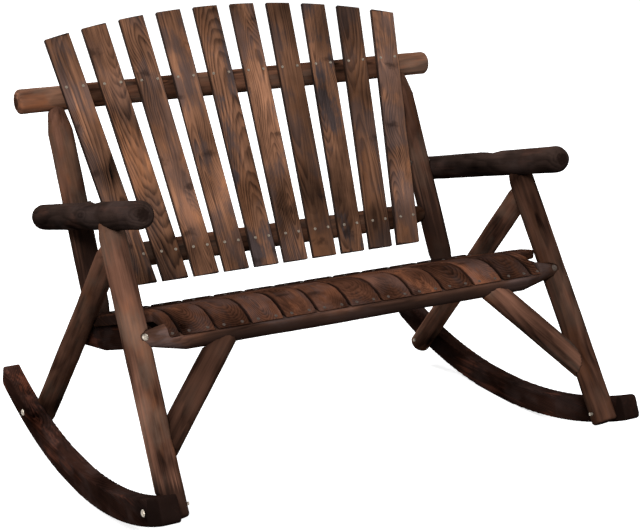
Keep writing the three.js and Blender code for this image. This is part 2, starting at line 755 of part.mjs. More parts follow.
/** Shallow V worn into the top of an arm. */
function armDip(side) {
  const along = armDipFromFront;
  const middle = { y: armFront.y + backOfArm.y * along, z: armFront.z + backOfArm.z * along };
  const up = { y: -backOfArm.z, z: backOfArm.y };
  const point = (run, rise) => [
    middle.y + backOfArm.y * run + up.y * rise,
    middle.z + backOfArm.z * run + up.z * rise,
  ];
  const top = armDiameter / 2;
  const shape = new THREE.Shape();
  shape.moveTo(...point(0, top - armDipDepth));
  shape.lineTo(...point(armDipWidth / 2, top));
  shape.lineTo(...point(armDipWidth / 2, top + overrun));
  shape.lineTo(...point(-armDipWidth / 2, top + overrun));
  shape.lineTo(...point(-armDipWidth / 2, top));
  shape.closePath();
  return sidePlank(shape, side * (armX - armDiameter), side * (armX + armDiameter));
}

function armrest(side) {
  return cut(
    armLog(side),
    postLog(side, fit),
    armDip(side),
    studHole(...armBolt(side)),
    studHole(...armStud(side)),
  );
}

function topRailLog(grow = 0) {
  const endX = postX + topRailOverhang + postDiameter / 2;
  return log(at(-1, endX, topRail), at(1, endX, topRail), topRailDiameter, "rail", "rail", grow);
}

function lowerRailLog() {
  return log(at(-1, postX, lowerRail), at(1, postX, lowerRail), lowerRailDiameter, "long", "long");
}

function seatSlat(number) {
  const middle = (number - (seatSlatCount - 1) / 2) * seatPitch;
  const half = (seatPitch - seatSlatGap) / 2;
  const slat = sidePlank(seatShape(), middle - half, middle + half);
  const side = Math.sign(middle) || 1;
  const nearEdge = Math.abs(middle) + half > Math.min(legInnerX, postX - postDiameter / 2) - seatNotchGap;
  if (!nearEdge) return slat;
  return cut(
    slat,
    legRoom(side),
    rearLegLog(side, seatNotchGap),
    postLog(side, seatNotchGap),
  );
}

function seatSideRail(side) {
  return cut(
    sideRailPlank(side),
    frontRailLog(fit),
    boltHole(...sideRailBolt(side)),
    boltHole(...postBolt(side)),
  );
}

function frontBrace(side) {
  return cut(braceLog(side), frontLegLog(side, fit), frontRailLog(fit), seatRoom());
}

function seatFrontRail() {
  const room = seatRoom(seatFrontHalfWidth);
  return cut(frontRailLog(), room, boltHole(...tenonBolt(-1)), boltHole(...tenonBolt(1)));
}

const sides = [["left", -1], ["right", 1]];

for (const [word, side] of sides) {
  add(`runner_${word}`, runner(side), darkTimber);
  add(`front_leg_${word}`, frontLeg(side), legTimber);
  add(`rear_leg_${word}`, rearLeg(side), legTimber);
  add(`back_post_${word}`, backPost(side), legTimber);
  add(`armrest_${word}`, armrest(side), darkTimber);
  add(`seat_side_rail_${word}`, seatSideRail(side), darkTimber);
  add(`front_brace_${word}`, frontBrace(side), legTimber);
  add(`bolt_runner_front_${word}`, bolt(...runnerBolt(side, frontJoint, legDiameter)), steel);
  add(`bolt_runner_rear_${word}`, bolt(...runnerBolt(side, rearJoint, rearLegDiameter)), steel);
  add(`bolt_rail_tenon_${word}`, bolt(...tenonBolt(side)), steel);
  add(`bolt_armrest_${word}`, bar(...armBolt(side), boltDiameter), steel);
  add(`nut_armrest_${word}`, cut(nutBlank(...armNut(side)), studHole(...armBolt(side))), steel);
  add(`bolt_side_rail_${word}`, bolt(...sideRailBolt(side)), steel);
  add(`bolt_post_foot_${word}`, bolt(...postBolt(side)), steel);
  add(`stud_armrest_${word}`, bar(...armStud(side), boltDiameter), steel);
}

add("top_back_rail", cut(topRailLog(), backRoom()), backTimber);
add("lower_back_rail", cut(lowerRailLog(), backRoom(), postLog(-1, fit), postLog(1, fit)), backTimber);
add("seat_front_rail", seatFrontRail(), seatTimber);
add("seat_rear_rail", cut(rearRailLog(), seatRoom()), darkTimber);

for (let i = 0; i < backSlatCount; i++) {
  const slat = backPlank(backSlatShape(i), backSlatOffset, backSlatThickness);
  add(`back_slat_${String(i + 1).padStart(2, "0")}`, slat, backTimber);
}

for (let i = 0; i < seatSlatCount; i++) {
  add(`seat_slat_${String(i + 1).padStart(2, "0")}`, seatSlat(i), seatTimber);
}

// The bench comes to rest with its centre of mass under the centre of its runners. It is turned
// to that attitude, and its origin is put at the middle of its footprint, on the floor.

const centre = { y: weighed.y / weighed.mass, z: weighed.z / weighed.mass };
const restTurn = Math.atan2(-centre.y, runnerCentreZ - centre.z);
const settled = new THREE.Group();
bench.position.set(0, 0, -runnerCentreZ);
settled.add(bench);
settled.rotation.x = restTurn;
const placed = new THREE.Group();
placed.add(settled);
placed.updateMatrixWorld(true);
const box = new THREE.Box3().setFromObject(placed, true);
const middle = box.getCenter(new THREE.Vector3());
settled.position.set(-middle.x, -middle.y, -box.min.z);

export default placed;
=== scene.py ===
"""A two-seat rocking bench in charred round timber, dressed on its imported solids.

Sticks, and the places and sizes that the sub-assemblies hold, are in the bench's own millimetres: X
across, the sitter faces -Y, Z up from the lowest point of level runners. Skins, grain, screws,
finishes and the studio are in metres. Everything that reaches Blender is in metres, in the attitude
in which the bench comes to rest.
"""

import logging
import math
from dataclasses import dataclass
from enum import Enum
from typing import Callable, Sequence

import bmesh
import bpy
import numpy as np
from bpy.types import ID, Material, Mesh, Node, NodeSocket, Object, World
from mathutils import Matrix, Vector, noise


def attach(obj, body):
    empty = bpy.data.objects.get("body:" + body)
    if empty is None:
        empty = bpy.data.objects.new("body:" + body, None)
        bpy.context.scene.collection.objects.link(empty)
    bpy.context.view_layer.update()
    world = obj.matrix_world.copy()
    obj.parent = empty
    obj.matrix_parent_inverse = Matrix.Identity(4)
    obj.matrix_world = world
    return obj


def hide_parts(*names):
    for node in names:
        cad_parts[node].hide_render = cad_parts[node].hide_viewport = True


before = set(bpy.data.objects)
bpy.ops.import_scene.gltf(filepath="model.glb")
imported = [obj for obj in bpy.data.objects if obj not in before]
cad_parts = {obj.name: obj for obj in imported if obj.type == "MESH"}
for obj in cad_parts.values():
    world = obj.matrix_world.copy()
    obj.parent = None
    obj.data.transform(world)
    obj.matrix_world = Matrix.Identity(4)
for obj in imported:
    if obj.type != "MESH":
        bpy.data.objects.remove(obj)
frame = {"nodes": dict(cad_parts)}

log = logging.getLogger("bench")

MM = 0.001
BODY = "root"
SIDES = (("left", -1), ("right", 1))

Pair = tuple[float, float]
Triple = tuple[float, float, float]
Colour = tuple[float, float, float, float]
Profile = tuple[Pair, ...]  # (distance from an end, radius) pairs of a round piece
NodeInput = object


# Where the bench stands

REST_TURN = 1.4525715  # degrees that the bench tips forward on its runners before it balances
REST_SHIFT_MM = (0.0, 48.679995, 1449.99816)
RUNNER_CENTRE_MM = (0.0, 0.0, 1450.0)



def turn(degrees: float, axis: str) -> Matrix:
    """Gives the matrix of a turn about an axis."""
    return Matrix.Rotation(math.radians(degrees), 4, axis)


BENCH = (
    Matrix.Scale(MM, 4)
    @ Matrix.Translation(REST_SHIFT_MM)
    @ turn(REST_TURN, "X")
    @ Matrix.Translation(RUNNER_CENTRE_MM).inverted()
)


def placed(x: float, y: float, z: float) -> Vector:
    """Gives a point of the level bench, in millimetres, where it stands, in metres."""
    return BENCH @ Vector((x, y, z))


def aimed(x: float, y: float, z: float) -> Vector:
    """Gives a direction of the level bench as it stands."""
    return (BENCH.to_3x3() @ Vector((x, y, z))).normalized()


def local_frame(origin: Vector, along: Vector, across: Vector) -> Matrix:
    """Makes the matrix from the scene to a stick's or board's own axes.

    Args:
        origin: the point that becomes zero.
        along: the direction that becomes Z, the way the grain runs.
        across: the direction that becomes X, squared up to the grain.

    Returns:
        A matrix that takes a point of the scene to (across, depth, along), in metres.
    """
    z_axis = along.normalized()
    y_axis = z_axis.cross(across).normalized()
    x_axis = y_axis.cross(z_axis)
    axes = Matrix((x_axis, y_axis, z_axis)).to_4x4()
    return axes @ Matrix.Translation(-origin)


# Shader building


class Pattern(Enum):
    """A noise: its changes per metre across, in depth and along the grain, and how detailed it is."""

    FIBRE = (330.0, 330.0, 9.0, 3.0)
    STREAK = (150.0, 150.0, 3.0, 3.0)
    BAND = (34.0, 34.0, 4.0, 2.0)
    PATCH = (13.0, 13.0, 5.5, 3.0)  # where the char is brushed through
    CLOUD = (11.0, 15.0, 8.0, 4.0)  # where the char stays grey
    GLOOM = (7.0, 9.0, 4.5, 2.0)  # slow changes from light to dark
    RAGGED = (70.0, 70.0, 90.0, 4.0)  # the rims of knots
    SWAY = (3.5, 3.5, 2.0, 1.0)  # how the pith wanders across
    LURCH = (4.0, 5.0, 2.6, 1.0)  # how the pith wanders in depth
    RIPPLE = (24.0, 24.0, 9.0, 2.0)  # small waves in the rings
    SEASON = (60.0, 60.0, 2.5, 1.0)  # how unevenly the rings are spaced
    CLEAR = (11.0, 11.0, 3.0, 1.0)  # where the rings stand out
    TARNISH = (260.0, 260.0, 260.0, 3.0)  # spots on steel


def by_maths(operation: str, last: bool = False) -> Callable[..., "Num"]:
    """Makes a method of Num that adds a Math node, which the number enters first or last."""

    def method(number: "Num", *others: NodeInput) -> "Num":
        """Adds the node and gives its result."""
        values = (*others, number) if last else (number, *others)
        return number.graph.maths(operation, *values)

    return method


class Num:
    """A shader socket that holds a number and can be used in sums."""

    def __init__(self, graph: "Graph", socket: NodeSocket) -> None:
        """Keeps the socket and the graph that it belongs to."""
        self.graph = graph
        self.socket = socket

    __add__, __radd__ = by_maths("ADD"), by_maths("ADD", last=True)
    __sub__, __rsub__ = by_maths("SUBTRACT"), by_maths("SUBTRACT", last=True)
    __mul__, __rmul__ = by_maths("MULTIPLY"), by_maths("MULTIPLY", last=True)
    __truediv__ = by_maths("DIVIDE")
    __abs__ = by_maths("ABSOLUTE")
    root = by_maths("SQRT")
    cycle = by_maths("FRACT")  # the part after the decimal point, which starts again at each whole number
    least, most = by_maths("MINIMUM"), by_maths("MAXIMUM")

    def rise(self, low: float, high: float) -> "Num":
        """Gives 0 below one value and 1 above another, with a smooth rise between them."""
        inputs = {"Value": self, "From Min": low, "From Max": high}
        made = self.graph.node("ShaderNodeMapRange", inputs, interpolation_type="SMOOTHSTEP")
        return Num(self.graph, made.outputs["Result"])


class Graph:
    """The node tree of a material or a world, and the few ways in which nodes are added to it."""

    NOISE_ROUGHNESS = 0.55

    def __init__(self, owner: Material | World) -> None:
        """Empties the owner's node tree."""
        self.owner = owner
        owner.use_nodes = True
        self.tree = owner.node_tree
        self.tree.nodes.clear()

    def node(self, kind: str, inputs: dict[object, NodeInput], **settings: object) -> Node:
        """Adds a node.

        Args:
            kind: the node's Blender type.
            inputs: values or links for its sockets, by name or number.
            settings: its own properties, set before its sockets.

        Returns:
            The new node.
        """
        made = self.tree.nodes.new(kind)
        for key, value in settings.items():
            setattr(made, key, value)
        for key, value in inputs.items():
            if isinstance(value, Num):
                value = value.socket
            if isinstance(value, NodeSocket):
                self.tree.links.new(value, made.inputs[key])
            else:
                made.inputs[key].default_value = value
        return made

    def maths(self, operation: str, *values: NodeInput) -> Num:
        """Adds a Math node on one or two values."""
        made = self.node("ShaderNodeMath", dict(enumerate(values)), operation=operation)
        return Num(self, made.outputs[0])

    def vector(self, operation: str, a: NodeInput, b: NodeInput) -> NodeSocket:
        """Adds a Vector Math node on two vectors and gives its result."""
        made = self.node("ShaderNodeVectorMath", {0: a, 1: b}, operation=operation)
        return made.outputs["Vector"]

    def length(self, a: NodeInput) -> Num:
        """Gives the length of a vector."""
        made = self.node("ShaderNodeVectorMath", {0: a}, operation="LENGTH")
        return Num(self, made.outputs["Value"])

    def attribute(self, name: str) -> NodeSocket:
        """Reads a vector that each piece's mesh carries."""
        return self.node("ShaderNodeAttribute", {}, attribute_name=name).outputs["Vector"]

    def parts(self, vector: NodeInput) -> tuple[Num, Num, Num]:
        """Splits a vector into its three numbers."""
        made = self.node("ShaderNodeSeparateXYZ", {0: vector})
        return tuple(Num(self, socket) for socket in made.outputs)

    def noise(self, vector: NodeInput, pattern: Pattern) -> Num:
        """Gives a pattern's noise, from 0 to 1."""
        *scales, detail = pattern.value
        where = self.vector("MULTIPLY", vector, scales)
        inputs = {"Vector": where, "Scale": 1.0, "Detail": detail, "Roughness": self.NOISE_ROUGHNESS}
        made = self.node("ShaderNodeTexNoise", inputs, noise_dimensions="3D")
        return Num(self, made.outputs["Fac"])

    def swing(self, vector: NodeInput, pattern: Pattern) -> Num:
        """Gives a pattern's noise, from -0.5 to 0.5."""
        return self.noise(vector, pattern) - 0.5

    def blend(self, share: NodeInput, a: NodeInput, b: NodeInput) -> NodeSocket:
        """Mixes two colours, from the first at 0 to the second at 1."""
        made = self.node("ShaderNodeMix", {0: share, 6: a, 7: b}, data_type="RGBA", blend_type="MIX")
        return made.outputs[2]

    def shade(self, colour: NodeInput, level: Num) -> NodeSocket:
        """Multiplies a colour by a number."""
        levels = self.node("ShaderNodeCombineXYZ", {0: level, 1: level, 2: level})
        return self.vector("MULTIPLY", colour, levels.outputs[0])

    def bump(self, height: Num, strength: float, distance: float) -> NodeSocket:
        """Gives the normal of a relief that is a given distance deep, in metres."""
        inputs = {"Strength": strength, "Distance": distance, "Height": height}
        return self.node("ShaderNodeBump", inputs).outputs[0]

    def seen(self) -> Num:
        """Gives 1 to the camera and to what mirrors or passes its view, and 0 to other light."""
        path = self.node("ShaderNodeLightPath", {})
        camera, glossy, through = (
            Num(self, path.outputs[f"Is {kind} Ray"]) for kind in ("Camera", "Glossy", "Transmission")
        )
        return camera.most(glossy).most(through)

    def painted(self, inputs: dict[object, NodeInput]) -> Material:
        """Gives the finished material of a principled shader."""
        return self.finish(self.node("ShaderNodeBsdfPrincipled", inputs))

    def finish(self, shader: Node, output: str = "ShaderNodeOutputMaterial") -> Material | World:
        """Joins a shader to the output and gives the finished material or world."""
        self.node(output, {"Surface": shader.outputs[0]})
        return self.owner


def grey(level: float) -> Colour:
    """Gives an opaque grey."""
    return (level, level, level, 1.0)


def printed(levels: Triple) -> Colour:
    """Gives the opaque linear colour of three screen levels from 0 to 255."""
    return (*(((level / 255 + 0.055) / 1.055) ** 2.4 for level in levels), 1.0)


def weighed(marks: dict[str, Num], weights: dict[str, float], start: float = 0.0) -> Num:
    """Adds up marks, each with its weight, onto a number."""
    return sum((marks[name] * weight for name, weight in weights.items()), start)


# Finishes

# How strongly each mark tells in the dark lines, in the glow of wood that is brushed bare, in the
# ash, which on the brown logs is also a painted sheen, in the wood's lightness, in its roughness and
# in its relief.
SURFACE_MARKS = ("fibre", "streak", "band", "patch", "cloud", "gloom")
LINE_WEIGHTS = {"streak": 1.2, "fibre": 1.2, "eye": 0.14}
LINE_START = 0.34
GLOW_WEIGHTS = {"patch": 1.0, "band": 0.5, "streak": 0.5, "ring": -0.03}
GLOW_RISE = (0.02, 0.2)
ASH_AND_SHEEN_WEIGHTS = {"cloud": 1.0, "band": 0.35, "streak": 0.3, "eye": 0.1}
ASH_AND_SHEEN_RISE = (-0.05, 0.12)
LIGHT_WEIGHTS = {"gloom": 2.8, "cloud": 1.2, "fibre": 1.0, "ring": -0.2}
GLOSS_WEIGHTS = {"streak": 0.3, "soot": 0.15, "ash_and_sheen": 0.1}
RELIEF_WEIGHTS = {"fibre": 0.4, "ring": -0.35, "streak": 0.9, "knot": -0.5}
RELIEF_STRENGTH = 0.5
RELIEF_DEPTH = 0.0006
KNOT_SOOT = 0.62  # how black a knot is

# Rings, in metres but for shares.
PITH_SWAY = 0.045
PITH_LURCH = 0.05
RING_RIPPLE = 0.004
RING_BEND = 0.012  # how far a knot pushes the rings out
CLEAR_RISE = (0.34, 0.6)
FAINT_SHARE = 0.25  # how much of the rings is left where they are faint
LATE_WOOD = (0.2, 0.84)  # shares of a ring between which it darkens, before it ends at 1

# Knots. Their raggedness, rim and reach are in radii of the knot.
KNOT_SCATTER = 0.8  # how far knots stray from even spacing
KNOT_RAGGED = 2.2
KNOT_RIM = (0.05, 1.15)
EYE_REACH = 2.6  # how far round a knot the rings bend
EYE_SQUAT = 0.32  # how much of a distance along the board counts there
ENDLESS = 1.0  # a knot's cell of this size or more, in metres, has no bounds that way

# Charred edges, a darker first end (at the left front leg's foot, painted shade) and paler or darker
# ends, as shares of their own widths, and a rail's painted shade underneath, in metres.
EDGE_WANDER = 1.5
TAIL_START = 0.5
END_WANDER = 0.6
END_RISE = (0.7, 1.1)
UNDER_WANDER = 0.006
UNDER_RISE = (-0.012, 0.003)
UNDER_ENDS = (0.06, 0.2)
UNDER_SHARE = 0.9


@dataclass(frozen=True)
class Margins:
    """How far a shaded point is, in metres, from its piece's borders, and how far above its middle."""

    edge: Num
    first_end: Num
    last_end: Num
    above: Num

    @classmethod
    def read(cls, graph: Graph) -> "Margins":
        """Reads them from the attributes place and half."""
        across, _, along = graph.parts(graph.attribute("place"))
        half_across, _, half_along = graph.parts(graph.attribute("half"))
        edge = (1 - abs(across)) * half_across
        return cls(edge, (1 + along) * half_along, (1 - along) * half_along, across * half_across)

    def end(self) -> Num:
        """Gives the distance from the nearer end."""
        return self.first_end.least(self.last_end)


@dataclass(frozen=True)
class CharredFir:
    """Flame-charred, brushed and oiled fir, with its colours in screen levels from 0 to 255."""

    name: str
    wood: Triple  # soft wood between the rings
    ring: Triple  # the dark line of each ring
    glow: Triple  # streaks where the char is brushed through
    ash_and_sheen: Triple = (74, 62, 60)  # clouds of grey-black char; the paler ash of the brown logs is also a painted sheen
    soot: Triple = (28, 19, 16)  # edges, ends and knots, and the painted shade under a rail and at a leg's foot
    ring_gap: float = 0.004
    ring_depth: float = 0.26
    band_depth: float = 1.0  # strength of the broad streaks
    glow_share: float = 0.85
    ash_and_sheen_share: float = 0.8
    edge_width: float = 0.0026  # metres over which a board darkens towards its edges
    edge_share: float = 0.85
    tail_width: float = 0.0  # metres over which the first end is darker; at the left front leg's foot this is painted shade where the leg laps the runner
    painted_under_shade: bool = False  # painted shade: darker below the middle of a rail, where its underside lies in shade
    end_width: float = 0.0  # metres over which the ends are paler or darker than the rest
    end_gains: Pair = (0.0, 0.0)  # how much paler the first and the last end are
    knot_cell: Triple = (0.11, 1000.0, 0.33)
    knot_radius: float = 0.013
    knot_squat: float = 0.5  # how much flatter a knot is along the board than across it
    roughness: float = 0.48
    specular: float = 0.02

    def material(self) -> Material:
        """Builds the finish's material.

        Returns:
            A material that reads the attributes grain, place, half and tone.
        """
        graph = Graph(bpy.data.materials.new(self.name))
        grain = graph.attribute("grain")
        margins = Margins.read(graph)
        shade, warmth, greyness = graph.parts(graph.attribute("tone"))

        marks = {name: graph.swing(grain, Pattern[name.upper()]) for name in SURFACE_MARKS}
        streak = marks["streak"]
        marks["knot"], marks["eye"] = self._knots(graph, grain)
        marks["ring"] = self._rings(graph, grain, marks["eye"])

        depths = {"ring": self.ring_depth, "band": self.band_depth}
        line = weighed(marks, LINE_WEIGHTS | depths, LINE_START)
        colour = graph.blend(line.most(0.0).least(1.0), printed(self.wood), printed(self.ring))
        glow = weighed(marks, GLOW_WEIGHTS).rise(*GLOW_RISE) * warmth * self.glow_share
        colour = graph.blend(glow.least(1.0), colour, printed(self.glow))
        marks["ash_and_sheen"] = weighed(marks, ASH_AND_SHEEN_WEIGHTS).rise(*ASH_AND_SHEEN_RISE) * greyness * self.ash_and_sheen_share
        colour = graph.blend(marks["ash_and_sheen"].least(1.0), colour, printed(self.ash_and_sheen))
        light = shade * weighed(marks, LIGHT_WEIGHTS, 1.0)
        colour = graph.shade(colour, light * (1 + self._bared_and_shaded_ends(margins, streak)))
        # soot on charred edges, ends and knots, with painted shade under a rail and at a leg's foot
        marks["soot"] = self._charred_and_shaded(margins, streak).most(marks["knot"] * KNOT_SOOT)
        colour = graph.blend(marks["soot"].least(1.0), colour, printed(self.soot))

        return graph.painted(
            {
                "Base Color": colour,
                "Roughness": weighed(marks, GLOSS_WEIGHTS, self.roughness),
                "Normal": graph.bump(weighed(marks, RELIEF_WEIGHTS), RELIEF_STRENGTH, RELIEF_DEPTH),
                "Specular IOR Level": self.specular,
            }
        )

    def _knots(self, graph: Graph, grain: NodeInput) -> tuple[Num, Num]:
        """Finds the knots.

        Args:
            graph: the material's graph.
            grain: the grain coordinates.

        Returns:
            The knot itself from 0 to 1, and the bend that it gives to the rings round it.
        """
        where = graph.vector("MULTIPLY", grain, tuple(1 / size for size in self.knot_cell))
        inputs = {"Vector": where, "Scale": 1.0, "Randomness": KNOT_SCATTER}
        made = graph.node("ShaderNodeTexVoronoi", inputs, voronoi_dimensions="3D", feature="F1")
        apart = graph.vector("SUBTRACT", made.outputs["Position"], where)
        across, deep, along = (size if size < ENDLESS else 0.0 for size in self.knot_cell)
        squat = (across * self.knot_squat, deep * self.knot_squat, along)
        ragged = graph.swing(grain, Pattern.RAGGED) * self.knot_radius * KNOT_RAGGED
        gap = graph.length(graph.vector("MULTIPLY", apart, squat)) + ragged
        knot = 1 - gap.rise(*(self.knot_radius * share for share in KNOT_RIM))
        flow = graph.length(graph.vector("MULTIPLY", apart, (across, deep, along * EYE_SQUAT)))
        return knot, 1 - flow.rise(0.0, self.knot_radius * EYE_REACH)

    def _rings(self, graph: Graph, grain: NodeInput, eye: Num) -> Num:
        """Draws the growth rings round the pith, which runs along the grain's Z axis."""
        across, depth, _ = graph.parts(grain)
        x = across + graph.swing(grain, Pattern.SWAY) * PITH_SWAY
        y = depth + graph.swing(grain, Pattern.LURCH) * PITH_LURCH
        y = y + graph.swing(grain, Pattern.RIPPLE) * RING_RIPPLE
        radius = (x * x + y * y).root() + eye * RING_BEND
        season = (radius / self.ring_gap + graph.noise(grain, Pattern.SEASON)).cycle()
        start, full = LATE_WOOD
        dark = season.rise(start, full) * (1 - season.rise(full, 1.0))
        clear = graph.noise(grain, Pattern.CLEAR).rise(*CLEAR_RISE)
        return dark * (FAINT_SHARE + clear * (1 - FAINT_SHARE))

    def _charred_and_shaded(self, margins: Margins, streak: Num) -> Num:
        """Darkens a board towards its long edges and ends, unevenly, and towards a first end that has a
        tail, which at a leg's foot is painted shade; under a rail it paints shade below the middle.
        """
        margin = margins.edge.least(margins.end()) - streak * self.edge_width * EDGE_WANDER
        char = 1 - margin.rise(0.0, self.edge_width)
        # a darker first end; at the left front leg's foot it is painted shade where the leg laps the
        # runner
        if self.tail_width:
            tail = margins.first_end - streak * self.tail_width
            char = char.most(1 - tail.rise(self.tail_width * TAIL_START, self.tail_width))
        # painted shade under a rail: darker below its middle, away from its ends
        if self.painted_under_shade:
            below = 1 - (margins.above + streak * UNDER_WANDER).rise(*UNDER_RISE)
            char = char.most(below * margins.end().rise(*UNDER_ENDS) * UNDER_SHARE)
        return char * self.edge_share

    def _bared_and_shaded_ends(self, margins: Margins, streak: Num) -> NodeInput:
        """Gives how much paler, or darker below 0, the wood is at its ends: bared whittled ends, and
        painted shade on the top back rail's middle and the lower back rail's ends.
        """
        paler = 0.0
        if self.end_width:
            start, full = (self.end_width * share for share in END_RISE)
            for end, gain in zip((margins.first_end, margins.last_end), self.end_gains):
                margin = end + streak * self.end_width * END_WANDER
                paler = (1 - margin.rise(start, full)) * gain + paler
        return paler


@dataclass(frozen=True)
class Steel:
    """Steel with its plating, a little dulled and marked, with its colours in screen levels."""

    name: str
    colour: Triple
    tarnish: Triple
    roughness: float = 0.38
    metallic: float = 0.85
    tarnish_rise: Pair = (0.4, 0.75)
    tarnish_roughness: float = 0.25
    pit_strength: float = 0.25
    pit_depth: float = 0.0002

    def material(self) -> Material:
        """Builds the finish's material."""
        graph = Graph(bpy.data.materials.new(self.name))
        where = graph.node("ShaderNodeTexCoord", {}).outputs["Object"]
        cloud = graph.noise(where, Pattern.TARNISH)
        spots = cloud.rise(*self.tarnish_rise)
        return graph.painted(
            {
                "Base Color": graph.blend(spots, printed(self.colour), printed(self.tarnish)),
                "Roughness": self.roughness + cloud * self.tarnish_roughness,
                "Metallic": self.metallic,
                "Normal": graph.bump(cloud, self.pit_strength, self.pit_depth),
            }
        )


class Tone(Enum):
    """How light a piece came out of the flame, how much of it glows and how much is ashen."""

    EVEN = (1.0, 0.6, 0.8)
    WARM = (0.95, 1.0, 0.4)
    RUSSET = (1.0, 0.9, 0.6)
    STREAKED = (1.0, 1.5, 0.9)
    SMOKED = (0.92, 0.5, 1.3)
    DIM = (0.8, 0.6, 0.8)
    DARK = (0.55, 0.5, 0.8)
    BLACK = (0.4, 0.4, 0.6)
    SOOTY = (0.3, 0.4, 0.4)


def tone_row(names: str) -> tuple[Tone, ...]:
    """Reads the tones of a row of pieces from their names."""
    return tuple(Tone[name] for name in names.split())


# Pieces of timber

CROSSWAYS = 0.7  # share of X in the direction of a stick that runs across the bench
WELD = 2e-6  # metres within which a solid's corners are one
FLAT_DEGREES = 0.4  # bend under which two triangles are one face
SMOOTHING = 0.5
ROUND_START = 0.966  # share of a log's radius from which a point is on its round outside
ROUND_BLEND = 0.014  # share over which the rest blends into it
BROAD_SWELL = (1.1, 5.0)  # noise changes round a log and per metre along it
FINE_SWELL = (2.6, 22.0)
FINE_SHARE = 0.45
SWELL_SINK = 0.25  # how much of the swell a log is drawn in by, to stay close to its solid
EDGELESS = 3.0  # a log's half width in radii, which keeps the charring of edges off it
WIDE = 1.0  # half size of a plank across edges that aren't charred, in metres


@dataclass(frozen=True)
class Stick:
    """The axis and outline of a piece of round timber, in the level bench's millimetres."""

    start: Triple
    end: Triple
    outline: Profile  # from the start

    @classmethod
    def turned(
        cls, start: Triple, end: Triple, diameter: float, first: Profile = (), last: Profile = ()
    ) -> "Stick":
        """Makes the stick of a log that has one diameter but for shaped ends.

        Args:
            start: the middle of its first end.
            end: the middle of its last end.
            diameter: its thickness away from its ends.
            first: the profile of the first end.
            last: the profile of the last end.

        Returns:
            The stick.
        """
        length, plain = math.dist(start, end), ((0.0, diameter / 2),)
        far = tuple((length - along, radius) for along, radius in reversed(last or plain))
        return cls(start, end, tuple(first or plain) + far)

    @classmethod
    def crossing(cls, end_x: float, line: Pair, diameter: float, ends: Profile = ()) -> "Stick":
        """Makes the stick of a rail that runs across the bench, with both ends alike."""
        return cls.turned((-end_x, *line), (end_x, *line), diameter, ends, ends)

    def on_side(self, side: int) -> "Stick":
        """Gives the stick of one side of the bench, mirrored for the left."""
        start, end = ((side * x, y, z) for x, y, z in (self.start, self.end))
        return Stick(start, end, self.outline)

    def frame(self) -> Matrix:
        """Makes the matrix from the scene to the stick's own axes."""
        start, end = placed(*self.start), placed(*self.end)
        along = end - start
        across = Vector((1, 0, 0)) if abs(along.normalized().x) < CROSSWAYS else Vector((0, 0, 1))
        return local_frame(start, along, across)

    def length(self) -> float:
        """Gives the stick's length in metres."""
        return (placed(*self.end) - placed(*self.start)).length

    def radius(self, along: float) -> float:
        """Gives the radius, in metres, at a distance in metres from the start."""
        places, radii = zip(*self.outline)
        return float(np.interp(along / MM, places, radii) * MM)


def dome(diameter: float, depth: float, steps: int = 5, flat_share: float = 0.3) -> Profile:
    """Gives the profile of a rounded end.

    Args:
        diameter: the log's thickness.
        depth: how far back from the end it is rounded.
        steps: the number of steps in the rounding.
        flat_share: how much of the radius is flat at the very end.

    Returns:
        The profile, from the end.
    """
    pairs = []
    for i in range(steps + 1):
        angle = math.pi / 2 * i / steps
        reach = flat_share + (1 - flat_share) * math.sin(angle)
        pairs.append((depth * (1 - math.cos(angle)), diameter / 2 * reach))
    return tuple(pairs)


@dataclass(frozen=True)
class Grain:
    """How a piece was cut from its tree."""

    pith: Pair = (0.0, 0.0)  # metres from the piece's middle, across and in depth
    tilt: Pair = (0.0, 0.0)  # degrees between the piece and the pith
    shift: float = 0.0  # metres along the tree, so that no two pieces match

    def further(self, distance: float) -> "Grain":
        """Gives the same cut further along the tree."""
        return Grain(self.pith, self.tilt, self.shift + distance)

    def matrix(self) -> Matrix:
        """Makes the matrix from the piece's own axes to the tree's."""
        sideways, deep = self.tilt
        return Matrix.Translation((*self.pith, self.shift)) @ turn(sideways, "Y") @ turn(deep, "X")


@dataclass(frozen=True)
class Board:
    """The axes and half sizes of a sawn board, in the scene's metres."""

    frame: Matrix
    half: Triple  # across, in depth and along

    @classmethod
    def lengthways(cls, middle: Triple, slope: float, half_width: float, half_length: float) -> "Board":
        """Gives the board of a plank that runs to the front, from its middle in millimetres."""
        turned = local_frame(placed(*middle), aimed(0, -1, slope), aimed(1, 0, 0))
        return cls(turned, (half_width, WIDE, half_length))


def shown(name: str, data: ID) -> Object:
    """Adds an object to the scene."""
    made = bpy.data.objects.new(name, data)
    bpy.context.scene.collection.objects.link(made)
    return made


def stripped_copy(node: str) -> bmesh.types.BMesh:
    """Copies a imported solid's mesh and joins its loose triangles into one skin.

    Args:
        node: the name of the solid.

    Returns:
        The copy, merged, with flat faces made whole and facing outwards.
    """
    copy = bmesh.new()
    copy.from_mesh(frame["nodes"][node].data)
    bmesh.ops.remove_doubles(copy, verts=copy.verts, dist=WELD)
    bend = math.radians(FLAT_DEGREES)
    bmesh.ops.dissolve_limit(copy, angle_limit=bend, verts=copy.verts, edges=copy.edges)
    bmesh.ops.recalc_face_normals(copy, faces=copy.faces)
    return copy


def mesh_of(shape: bmesh.types.BMesh, name: str) -> Mesh:
    """Turns a bmesh into a smooth-shaded mesh and frees it."""
    mesh = bpy.data.meshes.new(name)
    shape.to_mesh(mesh)
    shape.free()
    mesh.shade_smooth()
    return mesh


